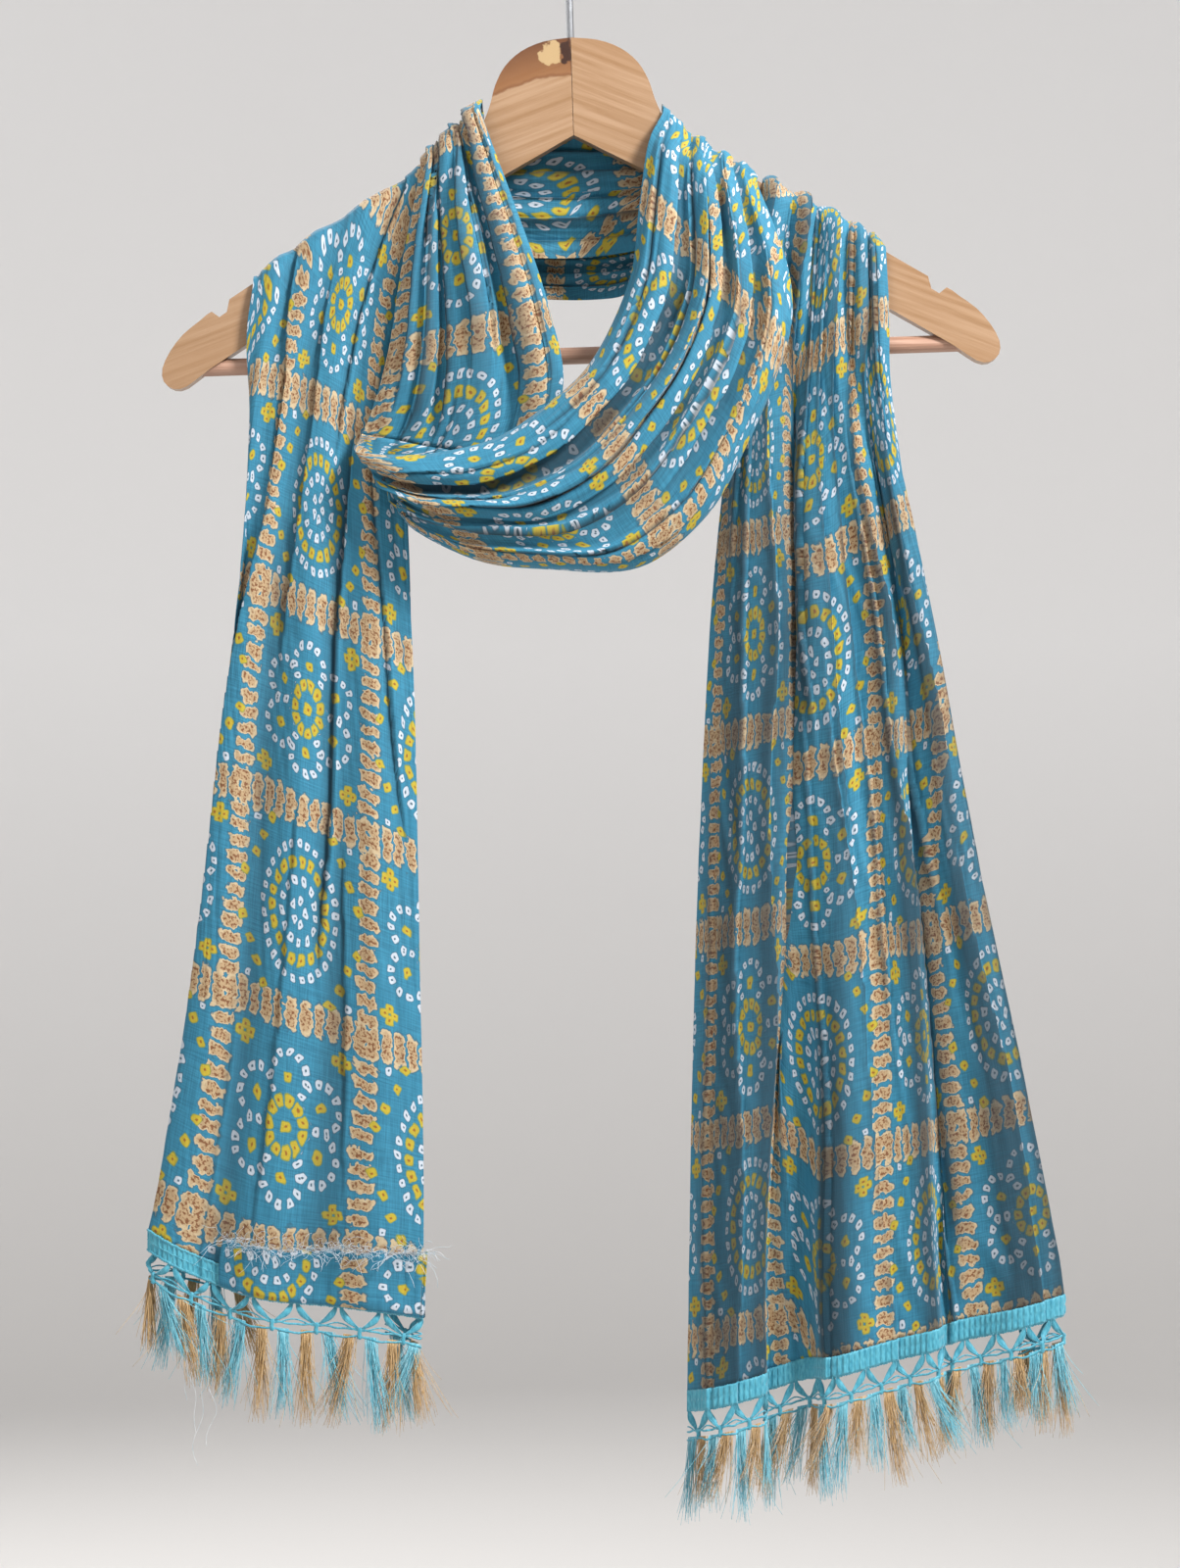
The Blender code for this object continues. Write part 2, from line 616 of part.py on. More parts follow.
def build_stole():
    printed = material("printed_crinkle_cotton", (0.08, 0.42, 0.56), 0.7)
    crochet_yarn = material("crochet_yarn", (0.10, 0.55, 0.68), 0.7)
    fringe_yarn = material("fringe_yarn", (0.35, 0.62, 0.62), 0.65)

    def hang(rows):
        return [hanging_row(row) for row in rows]

    def over_arm(arm, from_back):
        return wrapped_rows(*arm, from_back)

    stretches = [  # name, key sections, steps after each key on the long runs
        ("tail_left", hang(LEFT_TAIL_ROWS) + over_arm(LEFT_TAIL_ARM, False)
         + hang(LEFT_TAIL_BACK), [1] * 4 + [2] * 4),
        ("neck_band_upper", hang(UPPER_BAND_ROWS[:-1]), []),
        ("loop_front", hang(UPPER_BAND_ROWS[-1:] + FRONT_LOOP_BACK)
         + over_arm(FRONT_LOOP_ARM, True) + hang(FRONT_LOOP_ROWS + TURN_ROWS[:-1]), []),
        ("loop_left", hang(TURN_ROWS[-1:] + LEFT_LIMB_ROWS) + over_arm(LEFT_LIMB_ARM, False)
         + hang(LEFT_LIMB_BACK), []),
        ("neck_band_lower", hang(LOWER_BAND_ROWS[:-1]), []),
        ("tail_right", hang(LOWER_BAND_ROWS[-1:] + RIGHT_TAIL_BACK)
         + over_arm(RIGHT_TAIL_ARM, True) + hang(RIGHT_TAIL_ROWS),
         [1] * 8 + [2] * 5),
    ]
    keys, steps, cuts = [], [], []
    for name, sections, counts in stretches:
        keys += sections
        cuts.append(sum(steps))
        steps += counts + [1] * (len(sections) - len(counts))
    steps = steps[:len(keys) - 1]
    cloth = stretch(keys, steps)
    normals = surface_normals(cloth)
    ends = cuts[1:] + [len(cloth) - 1]
    for (name, _, _), first, last in zip(stretches, cuts, ends):
        rows = slice(first, last + 1)
        grid = trimmed(cloth[rows], first > 0, last < len(cloth) - 1)
        walled(name, grid, normals[rows], CLOTH * MM, printed)
    feet = ((cloth[0], normals[0]), (cloth[-1][::-1], normals[-1][::-1]))
    for edging, foot in zip(EDGINGS, feet):
        crochet(f"lace_{edging['side']}", foot, edging["repeats"], crochet_yarn)
        fringe(f"fringe_{edging['side']}", foot, edging["locks"], edging["length"], fringe_yarn)


build_hanger()
build_stole()
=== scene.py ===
import math
from functools import partial

import bmesh
import bpy
import numpy as np
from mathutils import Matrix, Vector


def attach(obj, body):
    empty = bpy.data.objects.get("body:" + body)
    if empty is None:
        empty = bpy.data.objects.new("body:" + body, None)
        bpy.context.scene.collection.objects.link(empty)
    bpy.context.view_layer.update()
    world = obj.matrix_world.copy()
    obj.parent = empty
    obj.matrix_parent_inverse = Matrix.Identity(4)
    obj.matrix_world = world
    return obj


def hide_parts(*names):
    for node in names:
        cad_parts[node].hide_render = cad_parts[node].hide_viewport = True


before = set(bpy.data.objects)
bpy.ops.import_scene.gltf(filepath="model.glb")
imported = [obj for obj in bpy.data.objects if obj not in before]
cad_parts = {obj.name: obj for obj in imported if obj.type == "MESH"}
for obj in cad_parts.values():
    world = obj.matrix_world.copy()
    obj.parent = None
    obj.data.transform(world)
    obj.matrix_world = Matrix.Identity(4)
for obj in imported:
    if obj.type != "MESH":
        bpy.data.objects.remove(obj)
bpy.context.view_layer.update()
print("stage: frame loaded,", len(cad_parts), "nodes")

mm = 0.001
tilt = math.radians(1.9)       # the hanger hangs this far out of level, right arm up
hookRise = 75.0                # rail to the top of the wood

# The camera: level, and far enough back for the photo's flat look
cameraPlan = {
    "centre": (0.0128, -0.468),   # world x and z that the middle of the picture looks at
    "distance": 2.2,
    "tall": 0.8278,               # height of the picture at the hanger, metres
    "sensor": 24.0,
}
cameraData = bpy.data.cameras.new("photo_camera")
cameraData.sensor_fit = "VERTICAL"
cameraData.sensor_height = cameraPlan["sensor"]
cameraData.lens = cameraPlan["sensor"] * cameraPlan["distance"] / cameraPlan["tall"]
cameraData.clip_start = 0.05
camera = bpy.data.objects.new("photo_camera", cameraData)
camera.location = (cameraPlan["centre"][0], -cameraPlan["distance"], cameraPlan["centre"][1])
camera.rotation_euler = (math.radians(90), 0, 0)
bpy.context.scene.collection.objects.link(camera)
bpy.context.scene.camera = camera


# sRGB hex to linear colour
def linearColour(hexCode):
    parts = [int(hexCode[i:i + 2], 16) / 255 for i in (1, 3, 5)]
    linear = [p / 12.92 if p <= 0.04045 else ((p + 0.055) / 1.055) ** 2.4 for p in parts]
    return (*linear, 1.0)


# Adds one node. A second word in kind is its mode; inputs that are sockets are linked, the others set.
def addNode(tree, kind, inputs=(), output=0, **settings):
    kind, _, mode = kind.partition(" ")
    made = tree.nodes.new("ShaderNode" + kind)
    if mode:
        setattr(made, {"Mix": "data_type", "VectorRotate": "rotation_type"}.get(kind, "operation"), mode)
    for name, value in settings.items():
        setattr(made, name, value)
    pairs = inputs.items() if isinstance(inputs, dict) else enumerate(inputs)
    for socket, value in pairs:
        if isinstance(value, bpy.types.NodeSocket):
            tree.links.new(value, made.inputs[socket])
        elif value is not None:
            made.inputs[socket].default_value = value
    return made.outputs[output]


# A new finish: its material, a way to add nodes to it, and a way to link them to the shader
def newFinish(name, **settings):
    made = bpy.data.materials.new(name)
    made.use_nodes = True
    tree = made.node_tree
    shader = tree.nodes["Principled BSDF"]
    for socket, value in settings.items():
        shader.inputs[socket.replace("_", " ")].default_value = value
    return made, partial(addNode, tree), lambda value, socket: tree.links.new(value, shader.inputs[socket])


def meshPiece(name, points, faces, finish, uvs=None):
    mesh = bpy.data.meshes.new(name)
    mesh.from_pydata([tuple(p) for p in points], [], faces)
    if uvs is not None:
        layer = mesh.uv_layers.new(name="print")
        corners = np.empty(len(mesh.loops), dtype=np.int32)
        mesh.loops.foreach_get("vertex_index", corners)
        layer.data.foreach_set("uv", np.asarray(uvs, float)[corners].ravel())
    mesh.shade_smooth()
    mesh.materials.append(finish)
    made = bpy.data.objects.new(name, mesh)
    bpy.context.scene.collection.objects.link(made)
    return made


# Quads over a grid of points, row by row; a closed grid joins its last column to its first.
def gridFaces(rows, columns, closed=False):
    order = np.arange(rows * columns).reshape(rows, columns)
    if closed:
        order = np.concatenate([order, order[:, :1]], axis=1)
    corners = (order[:-1, :-1], order[1:, :-1], order[1:, 1:], order[:-1, 1:])
    return np.stack([corner.ravel() for corner in corners], axis=1)


# The piece rides on the one body and stands for the nodes named, which are hidden.
def settle(piece, slot, *nodes):
    if nodes:
        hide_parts(*nodes)
    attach(piece, "root")
    return piece


# Between start and end on a smooth curve, led by the values before and after them
def curvePoint(before, start, end, after, t):
    return 0.5 * (2 * start + (end - before) * t + (2 * before - 5 * start + 4 * end - after) * t ** 2
                  + (3 * start - before - 3 * end + after) * t ** 3)


# Slow bumpy values between -1 and 1, the same on every run
def wander(count, knots, seed):
    source = np.random.default_rng(seed).uniform(-1, 1, knots + 3)
    at = np.linspace(1, knots, count)
    low = np.floor(at).astype(int)
    return curvePoint(source[low - 1], source[low], source[low + 1], source[np.minimum(low + 2, knots + 2)],
                      at - low)


# 0 to 1 with soft ends
def eased(t):
    return t * t * (3 - 2 * t)


# The cloth's route over the hanger. Half of the wood's top edge: out from the centre joint, drop
woodTop = [(0, 0), (14, 1.6), (26, 6.3), (35, 14), (40.5, 24), (43.5, 34), (48, 44), (56, 53),
           (70, 63), (94, 77.5), (120, 92.5), (146, 108), (169, 122.5)]

wrapPlan = {
    "axisDrop": 6.5,        # the wrap's centre below the wood's top edge
    "onWood": 9.2,          # radius of the layer that lies on the wood
    "onCloth": 16.0,        # radius of the layer that lies on another one
    "liftOnSlope": 4.0,     # how much higher it lies where the wood is steep
    "angles": (18, 54, 90, 126, 162),    # degrees round the edge, from behind
}

# Sections of the cloth: share of the width from edge a to edge b, and stand-out in mm
foldCharts = {
    "leftFoot": [(0.14, -8.5), (0.00, -3.0), (0.07, 0.5), (0.20, 5.0), (0.38, 0.5), (0.58, 5.0),
                 (0.75, -1.5), (0.88, 3.5), (0.96, 2.0), (1.00, -3.5), (0.88, -8.0), (0.64, -9.0)],
    "leftArm": [(0.00, 0.0), (0.07, 2.0), (0.15, 0.5), (0.26, 3.0), (0.36, 1.0), (0.50, 3.0),
                (0.62, 0.8), (0.74, 3.2), (0.82, 1.0), (0.90, 3.0), (0.96, 1.0), (1.00, 0.0)],
    "bandUp": [(0.00, 0.0), (0.10, 1.6), (0.22, 3.2), (0.32, 0.6), (0.42, 0.4), (0.52, 3.0),
               (0.60, 2.4), (0.68, 0.4), (0.78, 2.2), (0.86, 3.2), (0.94, 1.0), (1.00, 0.0)],
    "frontArm": [(0.00, 0.0), (0.10, 3.0), (0.20, 3.6), (0.30, 0.6), (0.40, 3.8), (0.48, 4.0),
                 (0.57, 1.0), (0.66, 4.2), (0.76, 1.2), (0.86, 3.8), (0.95, 2.0), (1.00, 0.0)],
    "frontLoop": [(0.00, -4.0), (0.05, 2.5), (0.18, 5.0), (0.30, -0.5), (0.38, 5.0), (0.50, 8.0),
                  (0.60, 1.0), (0.68, 7.0), (0.80, 1.5), (0.89, 5.5), (0.97, 0.5), (1.00, -5.0)],
    "tip": [(0.00, -1.5), (0.08, 1.0), (0.18, 1.6), (0.28, 0.4), (0.38, 1.6), (0.48, 2.0),
            (0.58, 0.4), (0.68, 1.8), (0.78, 0.4), (0.88, 1.6), (0.95, 0.8), (1.00, -1.5)],
    "leftLimb": [(0.00, -2.5), (0.05, 1.5), (0.16, 5.0), (0.27, 3.0), (0.33, -2.0), (0.42, 3.0),
                 (0.54, 6.5), (0.66, 1.0), (0.74, -1.0), (0.84, 4.5), (0.95, 2.0), (1.00, -2.5)],
    "limbArm": [(0.00, 0.0), (0.09, 2.4), (0.18, 3.4), (0.27, 1.0), (0.36, 0.6), (0.45, 3.2),
                (0.54, 3.8), (0.63, 1.2), (0.72, 0.6), (0.82, 3.4), (0.92, 2.4), (1.00, 0.0)],
    "bandLow": [(0.00, 0.0), (0.10, 1.4), (0.20, 2.4), (0.30, 1.2), (0.40, 0.4), (0.50, 1.8),
                (0.60, 2.4), (0.70, 0.8), (0.80, 1.8), (0.88, 2.2), (0.95, 1.0), (1.00, 0.0)],
    "rightArm": [(0.00, 0.0), (0.08, 4.0), (0.16, 0.8), (0.22, 4.6), (0.32, 1.2), (0.42, 4.8),
                 (0.52, 2.2), (0.58, 0.6), (0.66, 4.8), (0.78, 0.8), (0.92, 4.2), (1.00, 0.0)],
    "rightHang": [(0.05, -7.0), (0.00, -2.0), (0.09, 5.5), (0.165, -8.5), (0.22, 6.5), (0.36, 3.0),
                  (0.45, 7.0), (0.595, 8.5), (0.632, -10.0), (0.672, 8.0), (0.87, 7.0), (1.00, -6.5)],
    "rightFoot": [(0.12, -8.0), (0.00, -2.0), (0.13, 6.5), (0.30, -9.5), (0.345, 7.0), (0.45, 4.0),
                  (0.61, 10.0), (0.68, -11.0), (0.79, -12.0), (0.80, 8.0), (0.92, 10.5), (1.00, -5.0)],
}

# Rows: a x, a drop, b x, b drop, front of a, front of b, bulge, first chart, second chart, share of it
leftTailRows = [
    (-77.6, 661, -221.0, 616, 13, 13, 0, "leftFoot", "leftArm", 0.00),
    (-77.0, 610, -213.0, 582, 13, 13, 0, "leftFoot", "leftArm", 0.00),
    (-78.0, 530, -200.5, 520, 13, 13, 0, "leftFoot", "leftArm", 0.00),
    (-80.0, 440, -192.5, 440, 13, 13, 0, "leftFoot", "leftArm", 0.05),
    (-81.5, 350, -185.5, 350, 13, 13, 0, "leftFoot", "leftArm", 0.12),
    (-83.0, 275, -179.5, 285, 13, 13, 0, "leftFoot", "leftArm", 0.30),
    (-82.0, 215, -175.4, 232, 12, 12, 0, "leftFoot", "leftArm", 0.62),
    (-74.0, 150, -173.0, 187, 11, 11, 0, "leftFoot", "leftArm", 0.88),
    (-60.0, 95, -170.0, 156, 10, 10, 0, "leftFoot", "leftArm", 1.00),
]
leftTailArm = (-46.5, -167.0, wrapPlan["onWood"], "leftArm")
leftTailBack = [
    (-46.5, 56, -140.0, 134, -9.8, -9.8, 0, "leftArm", "bandUp", 0.35),
    (-45.5, 50, -84.0, 121, -10, -10, 0, "leftArm", "bandUp", 0.75),
]
upperBandRows = [
    (-43.5, 46, -43.5, 112, -10, -10, 0, "bandUp", "bandUp", 0.0),
    (-20.0, 44, -19.0, 114, -10.5, -11, 0, "bandUp", "bandUp", 0.0),
    (1.0, 44, 2.0, 114, -10.5, -11, 0, "bandUp", "bandUp", 0.0),
    (22.0, 44, 23.0, 112, -10.5, -11, 0, "bandUp", "bandUp", 0.0),
    (40.0, 45, 40.0, 109, -10, -10, 0, "bandUp", "bandUp", 0.0),
]
frontLoopBack = [
    (46.0, 47, 60.0, 105, -10, -10, 0, "bandUp", "frontArm", 0.35),
    (47.5, 48, 82.0, 100, -9.8, -9.8, 0, "bandUp", "frontArm", 0.75),
]
frontLoopArm = (48.5, 98.5, wrapPlan["onWood"], "frontArm")
frontLoopRows = [
    (41.0, 57, 105.0, 96, 15, 17, 2, "frontArm", "frontLoop", 0.10),
    (36.0, 92, 114.0, 124, 22, 24, 4, "frontArm", "frontLoop", 0.35),
    (31.0, 130, 115.5, 152, 28, 28, 6, "frontArm", "frontLoop", 0.65),
    (12.4, 171, 107.6, 180, 33, 29, 8, "frontLoop", "tip", 0.0),
    (-10.0, 194, 93.0, 214, 36, 30, 9, "frontLoop", "tip", 0.0),
    (-38.0, 213, 72.0, 252, 37, 31, 10, "frontLoop", "tip", 0.0),
    (-70.0, 221, 36.0, 280, 37, 32, 9, "frontLoop", "tip", 0.1),
    (-92.0, 222, -12.0, 281, 36, 33, 7, "frontLoop", "tip", 0.3),
    (-104.0, 221, -50.0, 276, 34, 32, 3, "frontLoop", "tip", 0.7),
]
turnRows = [
    (-111.5, 220, -86.0, 256, 29, 29, 0, "tip", "tip", 0.0),
    (-112.0, 217, -56.0, 250, 24.0, 23.5, 0, "tip", "leftLimb", 0.25),
    (-109.0, 210, -20.0, 227, 21.5, 21.5, 0, "tip", "leftLimb", 0.60),
]
leftLimbRows = [
    (-103.0, 196, -4.0, 186, 22, 23, 0, "leftLimb", "limbArm", 0.0),
    (-95.0, 166, -11.0, 145, 22, 23, 2, "leftLimb", "limbArm", 0.1),
    (-90.0, 133, -23.5, 106, 21, 21, 3, "leftLimb", "limbArm", 0.4),
    (-85.0, 104, -36.0, 72, 19.5, 19.0, 2, "leftLimb", "limbArm", 0.75),
]
leftLimbArm = (-79.0, -46.5, wrapPlan["onCloth"], "limbArm")
leftLimbBack = [
    (-74.0, 106, -51.0, 82, -18, -18, 0, "limbArm", "bandLow", 0.4),
    (-59.0, 126, -50.0, 98, -21, -20, 0, "limbArm", "bandLow", 0.8),
]
lowerBandRows = [
    (-43.5, 131, -43.5, 102, -22, -21, 0, "bandLow", "bandLow", 0.0),
    (-20.0, 134, -20.0, 105, -22.5, -22, 0, "bandLow", "bandLow", 0.0),
    (2.0, 135, 2.0, 106, -22.5, -22, 0, "bandLow", "bandLow", 0.0),
    (22.0, 134, 22.0, 105, -22.5, -22, 0, "bandLow", "bandLow", 0.0),
    (40.0, 131, 40.0, 102, -22, -21, 0, "bandLow", "bandLow", 0.0),
]
rightTailBack = [
    (84.0, 136, 64.0, 104, -19, -19, 0, "bandLow", "rightArm", 0.35),
    (132.0, 138, 88.0, 106, -14, -17, 0, "bandLow", "rightArm", 0.75),
]
rightTailArm = (166.0, 101.5, wrapPlan["onWood"], "rightArm")
rightTailRows = [
    (167.5, 146, 97.5, 100, 10, 9.5, 0, "rightArm", "rightHang", 0.0),
    (168.5, 178, 93.5, 140, 11, 10.5, 0, "rightArm", "rightHang", 0.15),
    (174.0, 215, 86.0, 190, 11.5, 11, 0, "rightArm", "rightHang", 0.4),
    (182.0, 256, 80.0, 240, 12, 12, 0, "rightArm", "rightHang", 0.75),
    (193.0, 318, 74.0, 305, 12, 12, 0, "rightHang", "rightFoot", 0.0),
    (206.0, 390, 70.0, 380, 12, 12, 0, "rightHang", "rightFoot", 0.25),
    (222.0, 470, 66.5, 465, 12, 12, 0, "rightHang", "rightFoot", 0.5),
    (241.0, 560, 64.0, 560, 12, 12, 0, "rightHang", "rightFoot", 0.8),
    (254.0, 626, 62.5, 650, 12, 12, 0, "rightHang", "rightFoot", 1.0),
    (259.7, 661, 61.6, 712, 12, 12, 0, "rightHang", "rightFoot", 1.0),
]

clothPlan = {
    "columns": 221,           # points across the cloth
    "rowStep": 4.0,           # mm between rows
    "thick": 0.5,             # mm, fine cotton
    "crinkle": {              # height of the fine pleats in mm, by stretch
        "tail_left": 0.45, "neck_band_upper": 0.7, "loop_front": 0.75, "loop_left": 0.75,
        "neck_band_lower": 0.6, "tail_right": 0.65,
    },
    "foldShade": ((10, 1.9), (28, 3.7)),   # columns to each side, mm that count as fully deep in the painted fold shade
    "hemSag": (18.0, 0.55, 0.30, 0.20),   # left hem hangs lower: mm, share across, spread, part of the tail
    "pleats": ((4.6, 0.45, 11), (8.3, 0.7, 23), (15.0, 1.0, 37)),  # mm apart, share of height, seed
}

# Creases given one by one: from, to along the stretch (0 to 1), share across at both, depth and width in mm
creases = {
    "tail_left": [
        (0.00, 0.66, 0.770, 0.745, 4.2, 7.0), (0.00, 0.40, 0.520, 0.470, 1.6, 4.0),
        (0.18, 0.70, 0.390, 0.330, 3.6, 5.0), (0.30, 0.74, 0.120, 0.250, 2.6, 5.0),
        (0.05, 0.34, 0.300, 0.330, 1.5, 4.0), (0.10, 0.60, 0.930, 0.900, 3.0, 5.0),
        (0.45, 0.82, 0.560, 0.600, 2.0, 5.0), (0.55, 0.87, 0.200, 0.130, 2.4, 5.0),
        (0.60, 0.88, 0.760, 0.820, 2.2, 4.5), (0.62, 0.90, 0.420, 0.350, 2.4, 5.0),
        (-0.20, 0.30, 0.060, 0.070, 2.4, 5.0), (-0.20, 0.22, 0.640, 0.620, 1.3, 4.0),
    ],
    "loop_front": [
        (0.08, 0.62, 0.080, 0.130, 3.4, 5.0), (0.10, 0.94, 0.225, 0.270, 4.6, 7.0),
        (0.06, 0.60, 0.330, 0.335, 3.2, 5.0), (0.05, 1.10, 0.4545, 0.4545, 6.5, 9.0),
        (0.10, 0.62, 0.540, 0.560, 3.4, 5.0), (0.12, 0.96, 0.650, 0.635, 5.6, 8.0),
        (0.06, 0.66, 0.745, 0.760, 3.2, 5.0), (0.16, 0.92, 0.850, 0.830, 4.4, 6.0),
        (0.40, 0.98, 0.930, 0.900, 2.6, 4.0), (0.46, 0.98, 0.160, 0.190, 2.4, 4.0),
        (0.50, 0.99, 0.560, 0.550, 2.0, 4.0), (0.42, 0.96, 0.360, 0.380, 2.2, 5.0),
    ],
    "loop_left": [
        (-0.10, 0.90, 0.210, 0.240, 5.0, 7.0), (0.05, 0.80, 0.120, 0.130, 2.6, 4.0),
        (-0.05, 0.84, 0.400, 0.370, 3.4, 6.0), (0.10, 0.86, 0.520, 0.500, 2.8, 5.0),
        (0.02, 0.92, 0.770, 0.790, 5.4, 8.0), (0.12, 0.86, 0.640, 0.650, 2.8, 5.0),
        (0.02, 0.70, 0.920, 0.900, 2.4, 4.0),
    ],
    "neck_band_upper": [
        (-0.5, 1.5, 0.160, 0.200, 3.0, 6.0), (-0.5, 1.5, 0.370, 0.330, 3.4, 7.0),
        (-0.5, 1.5, 0.520, 0.560, 2.6, 5.0), (-0.5, 1.5, 0.720, 0.660, 3.4, 7.0),
        (-0.5, 1.5, 0.880, 0.850, 2.2, 4.0),
    ],
    "neck_band_lower": [
        (-0.5, 1.5, 0.220, 0.260, 1.9, 4.0), (-0.5, 1.5, 0.480, 0.450, 1.9, 4.0),
        (-0.5, 1.5, 0.700, 0.740, 1.9, 4.0),
    ],
    "tail_right": [
        (0.10, 0.62, 0.110, 0.100, 2.8, 5.0), (0.12, 0.78, 0.190, 0.205, 3.4, 6.0),
        (0.12, 0.55, 0.300, 0.290, 3.4, 5.0), (0.30, 1.10, 0.335, 0.310, 3.6, 7.0),
        (0.12, 0.86, 0.400, 0.420, 3.0, 6.0), (0.20, 0.70, 0.480, 0.470, 2.6, 5.0),
        (0.45, 1.10, 0.500, 0.470, 2.4, 6.0), (0.12, 0.60, 0.560, 0.545, 3.2, 5.0),
        (0.50, 1.10, 0.575, 0.600, 2.8, 6.0), (0.12, 0.50, 0.660, 0.640, 3.4, 6.0),
        (0.35, 0.95, 0.700, 0.710, 2.0, 4.0), (0.12, 0.90, 0.780, 0.800, 3.4, 7.0),
        (0.30, 1.10, 0.870, 0.880, 3.0, 6.0), (0.12, 0.50, 0.900, 0.915, 2.6, 4.0),
        (0.55, 1.10, 0.950, 0.945, 2.2, 4.0), (0.60, 1.10, 0.120, 0.135, 2.6, 6.0),
    ],
}

# Broad valleys between the hanging panels, in the same columns
valleys = {
    "tail_right": [(0.34, 0.76, 0.645, 0.694, 7.0, 9.0), (0.48, 1.15, 0.657, 0.752, 6.0, 10.0),
                   (0.36, 1.15, 0.185, 0.338, 6.5, 9.0)],
    "loop_front": [(0.20, 1.00, 0.300, 0.330, 3.5, 8.0), (0.22, 0.98, 0.700, 0.700, 4.0, 8.0)],
    "loop_left": [(0.05, 0.80, 0.600, 0.590, 2.5, 6.0)],
    "tail_left": [(0.05, 0.80, 0.830, 0.800, 3.5, 8.0)],
}


# Table points, x, drop and front in mm, as world points in metres
def place(points):
    x, drop, front = points[..., 0], points[..., 1], points[..., 2]
    return np.stack([(x + hookRise * math.sin(tilt)) * mm, -front * mm,
                     (-hookRise * math.cos(tilt) - drop) * mm], axis=-1)


# Smooth rows through the key rows, with a number of steps after each key
def curveThrough(controls, counts):
    controls = np.asarray(controls, float)
    rows = []
    for i, count in enumerate(counts):
        before, start, end = controls[max(i - 1, 0)], controls[i], controls[i + 1]
        after = controls[min(i + 2, len(controls) - 1)]
        rows += [curvePoint(before, start, end, after, step / count) for step in range(count)]
    rows.append(controls[-1])
    return np.array(rows)


# A fold chart read at every column: share across and stand-out
def foldCurve(name):
    controls = foldCharts[name]
    fine = curveThrough(controls, [24] * (len(controls) - 1))
    at = np.linspace(0, len(fine) - 1, clothPlan["columns"])
    whole = np.arange(len(fine))
    return np.stack([np.interp(at, whole, fine[:, k]) for k in (0, 1)], axis=1)


# One row of the cloth where it hangs, in front of the wood or behind it
def hangingRow(row):
    aX, aDrop, bX, bDrop, aFront, bFront, bulge, first, second, share = row
    folds = foldCurve(first) * (1 - share) + foldCurve(second) * share
    across, out = folds[:, 0], folds[:, 1]
    side = 1 if aFront > 0 else -1
    rounding = bulge * np.sin(math.pi * np.clip(across, 0, 1))
    return np.stack([aX + (bX - aX) * across, aDrop + (bDrop - aDrop) * across,
                     aFront + (bFront - aFront) * across + side * (out + rounding)], axis=1)


# The rows where the cloth goes round the top edge of the wood
def wrappedRows(aX, bX, radius, folds, fromBack):
    top = np.array(woodTop, float)
    both = np.concatenate([top[::-1] * (-1, 1), top[1:]])
    lineX = both[:, 0] * math.cos(tilt) + both[:, 1] * math.sin(tilt)
    lineDrop = both[:, 1] * math.cos(tilt) - both[:, 0] * math.sin(tilt)
    curve = foldCurve(folds)
    x = aX + (bX - aX) * curve[:, 0]
    probe = 4.0      # mm to each side that the edge's slope is read over
    slope = (np.interp(x + probe, lineX, lineDrop) - np.interp(x - probe, lineX, lineDrop)) / (2 * probe)
    lift = wrapPlan["liftOnSlope"] * (np.sqrt(1 + slope ** 2) - 1)
    reach = radius + curve[:, 1] - curve[:, 1].min()
    rows = []
    for angle in wrapPlan["angles"]:
        turn = math.radians(angle)
        rows.append(np.stack([x, np.interp(x, lineX, lineDrop) + wrapPlan["axisDrop"] - lift
                              - reach * math.sin(turn), -reach * math.cos(turn)], axis=1))
    return rows if fromBack else rows[::-1]


def hang(rows):
    return [hangingRow(row) for row in rows]


stretchKeys = [
    ("tail_left", hang(leftTailRows) + wrappedRows(*leftTailArm, False) + hang(leftTailBack)),
    ("neck_band_upper", hang(upperBandRows[:-1])),
    ("loop_front", hang(upperBandRows[-1:] + frontLoopBack) + wrappedRows(*frontLoopArm, True)
     + hang(frontLoopRows + turnRows[:-1])),
    ("loop_left", hang(turnRows[-1:] + leftLimbRows) + wrappedRows(*leftLimbArm, False)
     + hang(leftLimbBack)),
    ("neck_band_lower", hang(lowerBandRows[:-1])),
    ("tail_right", hang(lowerBandRows[-1:] + rightTailBack) + wrappedRows(*rightTailArm, True)
     + hang(rightTailRows)),
]
keys = np.array([key for _, rows in stretchKeys for key in rows])
middle = clothPlan["columns"] // 2
spans = np.linalg.norm(np.diff(keys, axis=0), axis=2).mean(axis=1)
steps = [max(2, round(span / clothPlan["rowStep"])) for span in spans]
cloth = curveThrough(keys, steps)      # millimetres, still in the table's frame
starts = np.concatenate([[0], np.cumsum(steps)])
cuts, first = {}, 0
for name, rows in stretchKeys:
    last = min(first + len(rows), len(keys) - 1)
    cuts[name] = (int(starts[first]), int(starts[last]))
    first = last
rowCount, columnCount = cloth.shape[:2]
print("stage: cloth route,", rowCount, "rows by", columnCount, "columns")


# The way out of the cloth at each point
def gridNormals(grid):
    normal = np.cross(np.gradient(grid, axis=0), np.gradient(grid, axis=1))
    return normal / np.maximum(np.linalg.norm(normal, axis=2, keepdims=True), 1e-9)


# Running length along each column and across each row, in mm, and each point's share of the way across
def runLength(axis):
    step = np.linalg.norm(np.diff(cloth, axis=axis), axis=2)
    return np.concatenate([np.zeros_like(step.take([0], axis)), np.cumsum(step, axis=axis)], axis=axis)


runAlong, runAcross = runLength(0), runLength(1)
width = runAcross[:, -1:]
share = runAcross / width
centreAlong = runAlong[:, middle]


